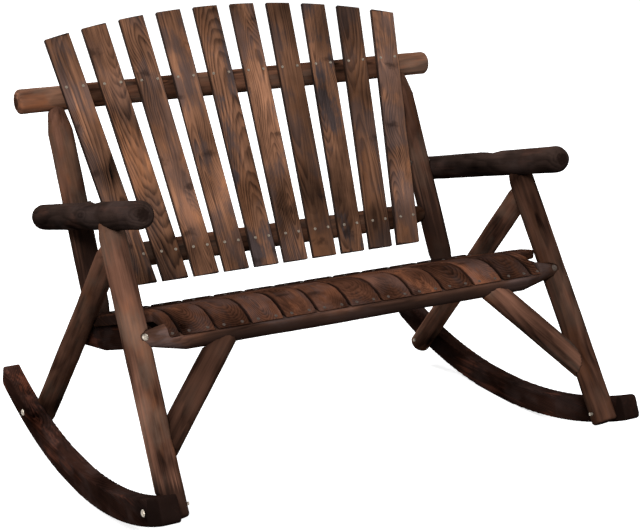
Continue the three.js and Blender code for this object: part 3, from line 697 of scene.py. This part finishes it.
def weathered_skin(node: str, voxel: float, passes: int) -> bmesh.types.BMesh:
    """Gives a solid an even, soft-edged skin of small quads.

    Args:
        node: the name of the solid.
        voxel: size of the quads in metres.
        passes: times that the skin is smoothed.

    Returns:
        The new skin.
    """
    source = shown("blank", mesh_of(stripped_copy(node), "blank"))
    remesh = source.modifiers.new("skin", "REMESH")
    remesh.mode = "VOXEL"
    remesh.voxel_size = voxel
    graph = bpy.context.evaluated_depsgraph_get()
    skinned = bpy.data.meshes.new_from_object(source.evaluated_get(graph))
    skin = bmesh.new()
    skin.from_mesh(skinned)
    blank = source.data
    bpy.data.objects.remove(source)
    bpy.data.meshes.remove(blank)
    bpy.data.meshes.remove(skinned)
    axes = {"use_axis_x": True, "use_axis_y": True, "use_axis_z": True}
    for _ in range(passes):
        bmesh.ops.smooth_vert(skin, verts=skin.verts, factor=SMOOTHING, **axes)
    return skin


def round_off(skin: bmesh.types.BMesh, stick: Stick, swell: float, seed: float) -> None:
    """Brings the outside of a log back to its round outline, with a tree's unevenness.

    Args:
        skin: the log's skin, changed in place.
        stick: its axis and outline.
        swell: height of the unevenness in metres.
        seed: where in the noise this log lies.
    """
    to_local = stick.frame()
    to_scene = to_local.inverted()
    (broad_round, broad_along), (fine_round, fine_along) = BROAD_SWELL, FINE_SWELL
    for vert in skin.verts:
        local = to_local @ vert.co
        reach = math.hypot(local.x, local.y)
        outline = stick.radius(local.z)
        held = min(max((reach / outline - ROUND_START) / ROUND_BLEND, 0.0), 1.0)
        if held == 0.0:
            continue
        x, y = local.x / reach, local.y / reach
        broad = noise.noise(Vector((x * broad_round + seed, y * broad_round, local.z * broad_along)))
        fine = noise.noise(Vector((x * fine_round, y * fine_round + seed, local.z * fine_along)))
        wanted = outline + swell * (broad + FINE_SHARE * fine - SWELL_SINK)
        radius = reach + (wanted - reach) * held
        vert.co = to_scene @ Vector((x * radius, y * radius, local.z))


def dress(mesh: Mesh, board: Board, grain: Grain, tone: Tone, finish: Material) -> None:
    """Gives a mesh its finish and the coordinates that the finish reads.

    Args:
        mesh: the piece's mesh.
        board: its axes, with zero at its middle, and its half sizes.
        grain: how it was cut from the tree.
        tone: how it came out of the flame.
        finish: its material.
    """
    count = len(mesh.vertices)
    points = np.empty(count * 3)
    mesh.vertices.foreach_get("co", points)
    points = np.column_stack([points.reshape(-1, 3), np.ones(count)])
    local = points @ np.array(board.frame).T
    tree = local @ np.array(grain.matrix()).T
    values = {
        "grain": tree[:, :3],
        "place": local[:, :3] / np.array(board.half),
        "half": np.tile(board.half, (count, 1)),
        "tone": np.tile(tone.value, (count, 1)),
    }
    for name, rows in values.items():
        made = mesh.attributes.new(name, "FLOAT_VECTOR", "POINT")
        made.data.foreach_set("vector", np.ascontiguousarray(rows, dtype=np.float32).ravel())
    mesh.materials.clear()
    mesh.materials.append(finish)


def put(name: str, mesh: Mesh, slot: str, *nodes: str) -> None:
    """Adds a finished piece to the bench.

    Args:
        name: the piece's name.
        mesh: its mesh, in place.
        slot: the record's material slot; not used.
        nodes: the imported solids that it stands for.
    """
    piece = shown(name, mesh)
    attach(piece, BODY)
    if nodes:
        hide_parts(*nodes)
    log.info("%s: %d faces", name, len(mesh.polygons))


LOT_FACTORS = (12.9898, 78.233, 43758.5453)  # they scatter the last digits of a sine


def lot(number: int, draw: int) -> float:
    """Gives a piece a number from 0 to 1 that looks drawn by lot and never changes."""
    by_number, by_draw, spread = LOT_FACTORS
    return (math.sin(number * by_number + draw * by_draw) * spread) % 1.0


def between(low: float, high: float, share: float) -> float:
    """Gives the value at a share of the way from one number to another."""
    return low + (high - low) * share


@dataclass(frozen=True)
class Cut:
    """How a row of slats is cut: the numbers between which each slat's grain is drawn."""

    pith: tuple[Pair, Pair]  # lowest and highest, across and in depth
    tilt: tuple[Pair, Pair]
    first_draw: int
    shift: float
    step: float

    def grain(self, number: int) -> Grain:
        """Gives the grain of one slat of the row."""
        draws = enumerate((*self.pith, *self.tilt), self.first_draw)
        drawn = [between(low, high, lot(number, draw)) for draw, (low, high) in draws]
        return Grain(tuple(drawn[:2]), tuple(drawn[2:]), self.shift + number * self.step)


# The shop


class Wood(Enum):
    """Screen levels of soft wood, of the dark line of its rings and of the glow under the char."""

    BLACK_LOG = ((56, 43, 38), (28, 21, 19), (72, 49, 41))
    BROWN_LOG = ((118, 82, 66), (38, 25, 21), (144, 92, 64))
    BROWN_RAIL = ((120, 82, 63), (42, 27, 22), (146, 93, 64))
    RUSSET_RAIL = ((76, 53, 43), (36, 25, 21), (100, 66, 49))
    BLACK_PLANK = ((47, 29, 23), (21, 14, 12), (98, 54, 38))
    BROWN_BOARD = ((146, 103, 78), (44, 30, 25), (168, 113, 79))
    RUSSET_BOARD = ((98, 63, 47), (38, 24, 19), (126, 79, 56))


def fir(name: str, wood: Wood, look: dict[str, object]) -> Material:
    """Makes a charred finish from its wood and from what differs from the usual look."""
    return CharredFir(name, *wood.value, **look).material()


class Shop:
    """The finishes that every sub-assembly takes its materials from."""

    def __init__(self) -> None:
        """Makes each finish once."""
        any_log = {
            "ring_gap": 0.0075,
            "ring_depth": 0.2,
            "knot_cell": (0.12, 0.12, 0.3),
            "knot_radius": 0.006,
            "knot_squat": 0.8,
            "roughness": 0.36,
            "specular": 0.0,
        }
        black_log = any_log | {"ash_and_sheen_share": 0.2}
        # the brown logs' pale grey ash is partly grey char and partly a painted sheen, laid on in patches
        pale_log = any_log | {"ash_and_sheen": (96, 79, 68), "ash_and_sheen_share": 0.6, "band_depth": 2.8}
        # the lower back rail's darker ends are painted shade where they meet the posts behind the outer
        # slats
        lower_rail = pale_log | {"end_width": 0.1, "end_gains": (-0.4, -0.5)}
        # the top back rail is paler towards its ends, leaving painted shade along its middle, between the
        # slats
        top_rail = pale_log | {"end_width": 0.14, "end_gains": (0.35, 0.5)}
        post = pale_log | {"tail_width": 0.4, "edge_share": 0.8}
        # the left front leg: painted shade at its foot where it laps the runner, paler above it and
        # darker towards its top
        foot = pale_log | {"tail_width": 0.1, "end_width": 0.28, "end_gains": (0.3, -0.3)}
        bared = {"end_width": 0.12, "end_gains": (0.65, -0.2)}
        # the front rail's underside gets painted shade, in this soot colour
        front_rail = any_log | bared | {"painted_under_shade": True, "soot": (51, 37, 32)}
        black_plank = {"specular": 0.0, "ash_and_sheen_share": 0.2}
        back_board = {"ring_depth": 0.38, "end_width": 0.13, "end_gains": (-0.2, -0.25)}
        seat_board = {"specular": 0.0, "tail_width": 0.085, "ash_and_sheen_share": 0.5}
        self.round_timber = {
            "dark_timber": fir("charred_log_black", Wood.BLACK_LOG, black_log),
            "leg_timber": fir("charred_log_brown", Wood.BROWN_LOG, pale_log),
            "back_timber": fir("charred_rail_brown_shaded_ends", Wood.BROWN_RAIL, lower_rail),
            "seat_timber": fir("charred_rail_russet", Wood.RUSSET_RAIL, front_rail),
        }
        self.post_timber = fir("charred_post_brown", Wood.BROWN_LOG, post)
        self.foot_timber = fir("charred_leg_brown_shaded_foot", Wood.BROWN_LOG, foot)
        self.rail_timber = fir("rail_brown_shaded_middle", Wood.BROWN_RAIL, top_rail)
        self.plank = {
            "dark_timber": fir("charred_plank_black", Wood.BLACK_PLANK, black_plank),
            "back_timber": fir("charred_board_brown", Wood.BROWN_BOARD, back_board),
            "seat_timber": fir("charred_board_russet", Wood.RUSSET_BOARD, seat_board),
        }
        self.steel = Steel("zinc_bolt", (164, 155, 142), (104, 94, 84)).material()
        self.dark_steel = Steel("browned_screw", (66, 53, 44), (48, 37, 31), 0.6, 0.3).material()
        self.screw = Steel("dulled_screw", (140, 128, 114), (92, 80, 70), 0.55, 0.5).material()


# The sub-assemblies

TREE = {  # metres along the tree, and so in its unevenness, at which the logs of each kind lie
    "front_leg": 11.0, "rear_leg": 14.0, "front_brace": 17.0, "armrest": 21.0,
    "seat_front_rail": 34.0, "seat_rear_rail": 35.0,
    "back_post": 51.0, "top_back_rail": 54.0, "lower_back_rail": 55.0,
}


def place_in_tree(node: str) -> float:
    """Gives where along the tree a log lies. The right one of a pair lies a metre further on."""
    kind = node.removesuffix("_left").removesuffix("_right")
    return TREE[kind] + (1.0 if node.endswith("_right") else 0.0)


@dataclass
class Assembly:
    """What all the timber sub-assemblies share: the finishes and how pieces are worked."""

    shop: Shop
    voxel: float = 0.003  # quads of the skin that logs and shaped planks get
    passes: int = 3
    swell: float = 0.0011  # unevenness of a log
    log_grain: Grain = Grain((0.004, -0.006), (0.6, -0.5))

    def log_piece(
        self, node: str, stick: Stick, tone: Tone, slot: str, finish: Material | None = None
    ) -> None:
        """Dresses one log.

        Args:
            node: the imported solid, whose name the piece takes with _timber after it.
            stick: its axis and outline.
            tone: how it came out of the flame.
            slot: the record's material slot.
            finish: its material, where it isn't the slot's usual one.
        """
        seed = place_in_tree(node)
        skin = weathered_skin(node, self.voxel, self.passes)
        round_off(skin, stick, self.swell, seed)
        mesh = mesh_of(skin, f"{node}_timber")
        half = stick.length() / 2
        width = stick.radius(half) * EDGELESS
        board = Board(Matrix.Translation((0, 0, -half)) @ stick.frame(), (width, width, half))
        dress(mesh, board, self.log_grain.further(seed), tone, finish or self.shop.round_timber[slot])
        put(f"{node}_timber", mesh, slot, node)

    def shaped_piece(self, node: str, board: Board, grain: Grain, tone: Tone, slot: str) -> None:
        """Dresses a shaped plank, with the soft edges that brushing leaves.

        Args:
            node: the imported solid.
            board: its axes and half sizes.
            grain: how it was cut.
            tone: how it came out of the flame.
            slot: the record's material slot.
        """
        mesh = mesh_of(weathered_skin(node, self.voxel, self.passes), f"{node}_timber")
        dress(mesh, board, grain, tone, self.shop.plank[slot])
        put(f"{node}_timber", mesh, slot, node)

    def steel_pieces(self, finish: Material, *nodes: str) -> None:
        """Gives packed bolts, nuts and studs their finish."""
        for node in nodes:
            solid = frame["nodes"][node]
            solid.data.materials.clear()
            solid.data.materials.append(finish)
            log.info("%s: packed solid in %s", node, finish.name)


@dataclass
class Runners(Assembly):
    """The two curved planks that the bench rocks on, with the bolts through them."""

    middle_x: float = 603.5
    middle_z: float = 60.0
    half_length: float = 560.0
    grain: Grain = Grain((0.05, -0.12), (0.0, 3.0), 7.0)

    def build(self) -> None:
        """Dresses both runners and their bolts."""
        for number, (word, side) in enumerate(SIDES):
            middle = (side * self.middle_x, 0.0, self.middle_z)
            board = Board.lengthways(middle, 0.0, WIDE, self.half_length * MM)
            grain = self.grain.further(number)
            self.shaped_piece(f"runner_{word}", board, grain, Tone.EVEN, "dark_timber")
            bolts = (f"bolt_runner_front_{word}", f"bolt_runner_rear_{word}")
            self.steel_pieces(self.shop.steel, *bolts)


@dataclass
class Legs(Assembly):
    """The log sides: front legs, rear legs, and the braces up to the front rail."""

    front_ends: tuple[Triple, Triple] = ((559.0, -551.0, 112.77), (540.71, -166.12, 679.1))
    rear_ends: tuple[Triple, Triple] = ((563.84, 322.0, 40.21), (545.06, -205.19, 621.61))
    brace_ends: tuple[Triple, Triple] = ((555.47, -468.77, 222.0), (331.84, -341.9, 444.0))
    diameter: float = 62.0
    rear_diameter: float = 57.0
    brace_diameter: float = 60.0
    whittle: Profile = ((0.0, 22.0), (48.0, 31.0))
    rear_whittle: Profile = ((0.0, 22.0), (48.0, 28.5))
    front_tones: tuple[Tone, Tone] = (Tone.EVEN, Tone.BLACK)
    rear_tones: tuple[Tone, Tone] = (Tone.DARK, Tone.DIM)
    brace_tones: tuple[Tone, Tone] = (Tone.SOOTY, Tone.DIM)

    def build(self) -> None:
        """Dresses the six logs. The left front leg alone has a finish of its own: painted shade at its
        foot, where it laps the runner, paler wood just above it, and darker towards its top.
        """
        front = Stick.turned(*self.front_ends, self.diameter, last=self.whittle)
        rear = Stick.turned(*self.rear_ends, self.rear_diameter, last=self.rear_whittle)
        brace = Stick.turned(*self.brace_ends, self.brace_diameter)
        logs = (
            ("front_leg", front, self.front_tones, (self.shop.foot_timber, None)),
            ("rear_leg", rear, self.rear_tones, (None, None)),
            ("front_brace", brace, self.brace_tones, (None, None)),
        )
        for number, (word, side) in enumerate(SIDES):
            for kind, stick, tones, finishes in logs:
                node = f"{kind}_{word}"
                self.log_piece(node, stick.on_side(side), tones[number], "leg_timber", finishes[number])


@dataclass
class Armrests(Assembly):
    """The round arms, with the bolts and nuts that hold them to the posts."""

    diameter: float = 64.0
    dome_length: float = 27.0
    x: float = 534.71
    rear: Pair = (340.2, 555.67)
    front: Pair = (-370.0, 728.8)

    def build(self) -> None:
        """Dresses both arms."""
        start, end = (self.x, *self.rear), (self.x, *self.front)
        rounded = dome(self.diameter, self.dome_length)
        arm = Stick.turned(start, end, self.diameter, rounded, rounded)
        for word, side in SIDES:
            self.log_piece(f"armrest_{word}", arm.on_side(side), Tone.EVEN, "dark_timber")
            rusty = (f"bolt_armrest_{word}", f"nut_armrest_{word}", f"stud_armrest_{word}")
            self.steel_pieces(self.shop.dark_steel, *rusty)


@dataclass
class SeatFrame(Assembly):
    """What carries the seat: side rails, the whittled front rail and the rear rail."""

    side_x: float = 511.3
    side_middle: Pair = (-105.0, 380.0)
    side_half_length: float = 245.0
    side_slope: float = 0.3
    side_grain: Grain = Grain((0.03, -0.06), (0.0, 2.0), 31.0)
    front_line: Pair = (-341.9, 444.0)
    front_end_x: float = 553.3
    front_diameter: float = 76.0
    tenon: Profile = ((0.0, 13.0), (36.0, 20.0), (111.0, 38.0))
    rear_line: Pair = (10.0, 339.8)
    rear_end_x: float = 497.0
    rear_diameter: float = 60.0

    def build(self) -> None:
        """Dresses the four rails and their bolts."""
        for number, (word, side) in enumerate(SIDES):
            middle = (side * self.side_x, *self.side_middle)
            board = Board.lengthways(middle, self.side_slope, WIDE, self.side_half_length * MM)
            grain = self.side_grain.further(number)
            self.shaped_piece(f"seat_side_rail_{word}", board, grain, Tone.EVEN, "dark_timber")
            tenon_steel = self.shop.steel if side < 0 else self.shop.dark_steel
            self.steel_pieces(tenon_steel, f"bolt_rail_tenon_{word}")
            self.steel_pieces(self.shop.steel, f"bolt_side_rail_{word}", f"bolt_post_foot_{word}")
        front = Stick.crossing(self.front_end_x, self.front_line, self.front_diameter, self.tenon)
        self.log_piece("seat_front_rail", front, Tone.EVEN, "seat_timber")
        rear = Stick.crossing(self.rear_end_x, self.rear_line, self.rear_diameter)
        self.log_piece("seat_rear_rail", rear, Tone.DARK, "dark_timber")


@dataclass
class Screws:
    """Rows of small domed screw heads, each row one piece, in metres."""

    radius: float = 0.0038
    height: float = 0.0013
    sink: float = 0.0006  # how deep the rim goes into the timber
    recess: float = 0.0011
    recess_share: float = 0.3  # of the radius
    curve: Profile = ((1.0, 0.3), (0.8, 0.8), (0.42, 1.0))  # shares of the radius and of the height
    sides: int = 12

    def row(self, name: str, finish: Material, places: Sequence[tuple[Vector, Vector]]) -> None:
        """Sets a row of screws.

        Args:
            name: the row's name.
            finish: its material.
            places: each screw's point on the timber and the direction that its head faces.
        """
        head = self._head()
        row = bmesh.new()
        for point, facing in places:
            count = len(row.verts)
            row.from_mesh(head)
            row.verts.ensure_lookup_table()
            place = Matrix.Translation(point) @ facing.to_track_quat("Z", "X").to_matrix().to_4x4()
            bmesh.ops.transform(row, matrix=place, verts=row.verts[count:])
        bpy.data.meshes.remove(head)
        mesh = mesh_of(row, name)
        mesh.materials.append(finish)
        put(name, mesh, "steel")

    def _head(self) -> Mesh:
        """Turns one head, facing Z, with its rim just inside the timber."""
        floor = self.height - self.recess
        outline = (
            (0.0, -self.sink),
            (self.radius, -self.sink),
            *((self.radius * out, self.height * up) for out, up in self.curve),
            (self.radius * self.recess_share, floor),
            (0.0, floor),
        )
        shape = bmesh.new()
        verts = [shape.verts.new((x, 0.0, z)) for x, z in outline]
        edges = [shape.edges.new(pair) for pair in zip(verts, verts[1:])]
        round_z = {"cent": (0, 0, 0), "axis": (0, 0, 1), "angle": 2 * math.pi}
        bmesh.ops.spin(shape, geom=verts + edges, steps=self.sides, use_merge=True, **round_z)
        bmesh.ops.remove_doubles(shape, verts=shape.verts, dist=WELD / 2)
        bmesh.ops.recalc_face_normals(shape, faces=shape.faces)
        return mesh_of(shape, "screw_head")


@dataclass
class SeatSlats(Assembly):
    """Thirteen slats sawn to the seat's curve, with two screws at each rail."""

    count: int = 13
    pitch: float = 83.2002
    width: float = 78.2
    middle: Pair = (-169.0, 430.0)
    half_length: float = 209.0
    screw_offset: float = 22.0
    screw_lines: Pair = (2.0, -364.0)
    front_half_width: float = 484.3  # the outer slats are notched beyond it, past the front legs
    cut: Cut = Cut(((-0.03, 0.03), (-0.05, -0.11)), ((-2.0, 2.0), (-5.0, 5.0)), 1, 41.0, 1.7)
    tones: tuple[Tone, ...] = tone_row(
        "DIM DIM DARK EVEN RUSSET EVEN DARK EVEN RUSSET DIM EVEN DARK RUSSET"
    )
    face: tuple[Pair, ...] = (  # (y, z) pairs along the upper face, from the rear
        (40.0, 387.0), (-1.8, 395.1), (-51.9, 411.3), (-106.3, 429.3), (-160.6, 448.2),
        (-210.7, 464.4), (-252.5, 473.9), (-281.8, 477.0), (-306.9, 475.6), (-331.9, 469.8),
        (-352.8, 461.7), (-369.5, 451.8), (-373.4, 448.0),
    )

    def build(self) -> None:
        """Dresses the slats and sets their screws."""
        half_width, half_length = self.width / 2 * MM, self.half_length * MM
        for number in range(self.count):
            board = Board.lengthways((self._x(number), *self.middle), 0.0, half_width, half_length)
            node = f"seat_slat_{number + 1:02d}"
            self.shaped_piece(node, board, self.cut.grain(number), self.tones[number], "seat_timber")
        spots = [self._x(n) + side * self.screw_offset for n in range(self.count) for _, side in SIDES]
        screws = Screws()
        for word, y in zip(("rear", "front"), self.screw_lines):
            places = [self._on_face(x, y) for x in spots if y > 0 or abs(x) < self.front_half_width]
            screws.row(f"seat_screws_{word}", self.shop.dark_steel, places)

    def _x(self, number: int) -> float:
        """Gives the middle of a slat, counted from 0 at the left."""
        return (number - (self.count - 1) / 2) * self.pitch

    def _on_face(self, x: float, y: float) -> tuple[Vector, Vector]:
        """Gives the point of the seat's face at a place, and the way that the face looks."""
        for (y0, z0), (y1, z1) in zip(self.face, self.face[1:]):
            if y0 >= y >= y1:
                share = (y0 - y) / (y0 - y1)
                return placed(x, y, between(z0, z1, share)), aimed(0, z1 - z0, y0 - y1)
        raise ValueError(f"no seat at y {y}")


@dataclass
class Back(Assembly):
    """The leaning back: posts, two log rails, and a fan of ten sawn slats with their screws."""

    lean: float = 28.0
    lower_rail: Pair = (149.0, 482.0)
    rail_spacing: float = 418.0
    rail_diameter: float = 62.0
    post_x: float = 485.71
    post_foot: Pair = (50.79, 297.29)
    post_foot_end: Profile = ((0.0, 17.0), (100.0, 31.0))
    long_whittle: Profile = ((0.0, 15.0), (86.0, 31.0))
    top_rail_end_x: float = 582.71
    top_rail_dome: float = 12.0
    count: int = 10
    pitch: float = 82.6115
    slat_width: float = 66.51
    slat_thickness: float = 12.0
    slat_back: float = 29.6  # from the plane of the rails' axes
    fan_angle: float = 1.75
    fan_shift: float = 3.0
    below_rail: float = 81.0
    height: float = 695.0
    crown_radius: float = 2130.0
    edge_round: float = 0.0014  # metres
    screw_lines: Pair = (431.0, -7.5)
    screw_offsets: tuple[Pair, Pair] = ((-21.0, 22.0), (-14.5, 23.0))
    cut: Cut = Cut(((-0.022, 0.022), (0.02, 0.06)), ((-1.0, 1.0), (-5.0, 5.0)), 5, 61.0, 2.3)
    post_tones: tuple[Tone, Tone] = (Tone.DIM, Tone.DARK)
    tones: tuple[Tone, ...] = tone_row("EVEN WARM RUSSET STREAKED SMOKED EVEN DARK SMOKED DARK EVEN")

    def build(self) -> None:
        """Dresses the posts, rails and slats, and sets the screws."""
        _, *top = self._on_back(0.0, self.rail_spacing, 0.0)
        foot, head = (self.post_x, *self.post_foot), (self.post_x, *top)
        post = Stick.turned(foot, head, self.rail_diameter, self.post_foot_end, self.long_whittle)
        for number, (word, side) in enumerate(SIDES):
            stick, tone = post.on_side(side), self.post_tones[number]
            self.log_piece(f"back_post_{word}", stick, tone, "leg_timber", self.shop.post_timber)
        rounded = dome(self.rail_diameter, self.top_rail_dome)
        upper = Stick.crossing(self.top_rail_end_x, top, self.rail_diameter, rounded)
        # its paler ends leave painted shade along its middle, between the slats
        self.log_piece("top_back_rail", upper, Tone.DIM, "back_timber", self.shop.rail_timber)
        lower = Stick.crossing(self.post_x, self.lower_rail, self.rail_diameter, self.long_whittle)
        # its darker ends are painted shade where they meet the posts
        self.log_piece("lower_back_rail", lower, Tone.DARK, "back_timber")
        for number in range(self.count):
            self._slat(number)
        screws = Screws()
        for word, up, offsets in zip(("upper", "lower"), self.screw_lines, self.screw_offsets):
            places = [self._screw(n, up, offset) for n in range(self.count) for offset in offsets]
            screws.row(f"back_screws_{word}", self.shop.screw, places)

    @property
    def _slope(self) -> Pair:
        """Gives the sine and the cosine of the back's lean."""
        return math.sin(math.radians(self.lean)), math.cos(math.radians(self.lean))

    def _on_back(self, x: float, up: float, out: float) -> Triple:
        """Gives a point from its place across, up from the lower rail, and out of the rails' plane."""
        sine, cosine = self._slope
        y, z = self.lower_rail
        return (x, y + sine * up - cosine * out, z + cosine * up + sine * out)

    def _fan(self, number: int) -> Pair:
        """Gives a slat's distance across at its foot, and its angle from upright."""
        place = number - (self.count - 1) / 2
        return place * self.pitch + self.fan_shift, math.radians(self.fan_angle) * place

    def _slat(self, number: int) -> None:
        """Dresses one slat: its edges eased, its grain along it."""
        base, angle = self._fan(number)
        crown = self.height - self.below_rail - self.crown_radius
        top_x = base + math.tan(angle) * self.height
        half = (crown + math.sqrt(self.crown_radius**2 - top_x**2) + self.below_rail) / 2
        out = self.slat_back + self.slat_thickness / 2
        middle = self._on_back(base + math.tan(angle) * half, half - self.below_rail, out)
        sine, cosine = self._slope
        up = (math.sin(angle), sine * math.cos(angle), cosine * math.cos(angle))
        board = Board(
            local_frame(placed(*middle), aimed(*up), aimed(1, 0, 0)),
            (self.slat_width / 2 * math.cos(angle) * MM, WIDE, half / math.cos(angle) * MM),
        )
        node = f"back_slat_{number + 1:02d}"
        shape = stripped_copy(node)
        rounding = {"offset": self.edge_round, "offset_type": "OFFSET", "segments": 2, "profile": 0.5}
        bmesh.ops.bevel(shape, geom=shape.edges[:], affect="EDGES", material=-1, **rounding)
        mesh = mesh_of(shape, f"{node}_timber")
        mesh.shade_flat()
        finish = self.shop.plank["back_timber"]
        dress(mesh, board, self.cut.grain(number), self.tones[number], finish)
        put(f"{node}_timber", mesh, "back_timber", node)

    def _screw(self, number: int, up: float, offset: float) -> tuple[Vector, Vector]:
        """Gives a screw's place on a slat's face, and the way that the face looks."""
        base, angle = self._fan(number)
        x = base + math.tan(angle) * (up + self.below_rail) + offset / math.cos(angle)
        sine, cosine = self._slope
        point = self._on_back(x, up, self.slat_back + self.slat_thickness)
        return placed(*point), aimed(0, -cosine, sine)


# The studio


@dataclass
class Studio:
    """A pale floor, soft light and the camera of the photograph."""

    camera_mm: Triple = (-1699.5, -3412.4, 1595.7)
    yaw: float = -27.443118
    pitch: float = 16.822058
    roll: float = -0.358185
    lens: float = 90.0
    sensor: float = 36.0
    floor_size: float = 60.0
    floor_bounce: float = 0.2  # how much light the floor throws back onto the bench
    floor_paint: float = 0.75  # how bright it is where the camera sees it
    floor_light: float = 0.75  # what it adds there of its own
    floor_roughness: float = 0.9
    daylight: float = 0.38
    lamp_centre: Triple = (0.0, 0.0, 0.55)
    lamp_distance: float = 9.0
    lamp_size: float = 2.6
    lamps: tuple[tuple[str, float, float, float], ...] = (
        ("key_light", -34.0, 34.0, 720.0),  # degrees round to the right, degrees up, watts
        ("back_light", 196.0, 38.0, 600.0),
        ("side_light", 98.0, 30.0, 300.0),
    )

    def build(self) -> None:
        """Sets up the whole studio."""
        bpy.context.scene.view_settings.view_transform = "Standard"
        self._camera()
        self._floor()
        self._sky()
        for name, round_by, up_by, power in self.lamps:
            self._lamp(name, math.radians(round_by), math.radians(up_by), power)

    def _camera(self) -> None:
        """Puts the camera where the photograph was taken from."""
        lens = bpy.data.cameras.new("camera")
        lens.lens = self.lens
        lens.sensor_width = self.sensor
        camera = shown("camera", lens)
        level = turn(self.yaw, "Z") @ turn(90.0 - self.pitch, "X") @ turn(self.roll, "Z")
        place = Matrix.Translation(placed(*self.camera_mm))
        camera.matrix_world = place @ turn(REST_TURN, "X") @ level
        bpy.context.scene.camera = camera

    def _floor(self) -> None:
        """Lays a floor that the camera sees white, with the bench's shadow on it."""
        shape = bmesh.new()
        bmesh.ops.create_grid(shape, x_segments=1, y_segments=1, size=self.floor_size)
        mesh = mesh_of(shape, "floor")
        graph = Graph(bpy.data.materials.new("floor"))
        seen = graph.seen()
        inputs = {
            "Base Color": graph.blend(seen, grey(self.floor_bounce), grey(self.floor_paint)),
            "Roughness": self.floor_roughness,
            "Specular IOR Level": 0.0,
            "Emission Color": graph.blend(seen, grey(0.0), grey(self.floor_light)),
            "Emission Strength": 1.0,
        }
        mesh.materials.append(graph.painted(inputs))
        floor = shown("floor", mesh)

    def _sky(self) -> None:
        """Lights the studio evenly from all round, white where the camera sees it."""
        graph = Graph(bpy.data.worlds.new("studio"))
        level = self.daylight + graph.seen() * (1 - self.daylight)
        light = graph.node("ShaderNodeBackground", {"Color": grey(1.0), "Strength": level})
        bpy.context.scene.world = graph.finish(light, "ShaderNodeOutputWorld")

    def _lamp(self, name: str, round_by: float, up_by: float, power: float) -> None:
        """Hangs a soft square lamp that faces the bench.

        Args:
            name: the lamp's name.
            round_by: its direction in radians, round from the front to the right.
            up_by: how high it hangs, in radians.
            power: its power in watts.
        """
        level = math.cos(up_by)
        outwards = Vector((math.sin(round_by) * level, -math.cos(round_by) * level, math.sin(up_by)))
        data = bpy.data.lights.new(name, "AREA")
        data.size = self.lamp_size
        data.energy = power
        lamp = shown(name, data)
        place = Vector(self.lamp_centre) + outwards * self.lamp_distance
        facing = outwards.to_track_quat("Z", "Y").to_matrix().to_4x4()
        lamp.matrix_world = Matrix.Translation(place) @ facing


def main() -> None:
    """Builds the studio and each sub-assembly."""
    logging.basicConfig(level=logging.INFO, format="%(message)s")
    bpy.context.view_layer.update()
    Studio().build()
    shop = Shop()
    for kind in (Runners, Legs, Armrests, SeatFrame, SeatSlats, Back):
        log.info("building %s", kind.__name__)
        kind(shop).build()


if __name__ == "__main__":
    main()
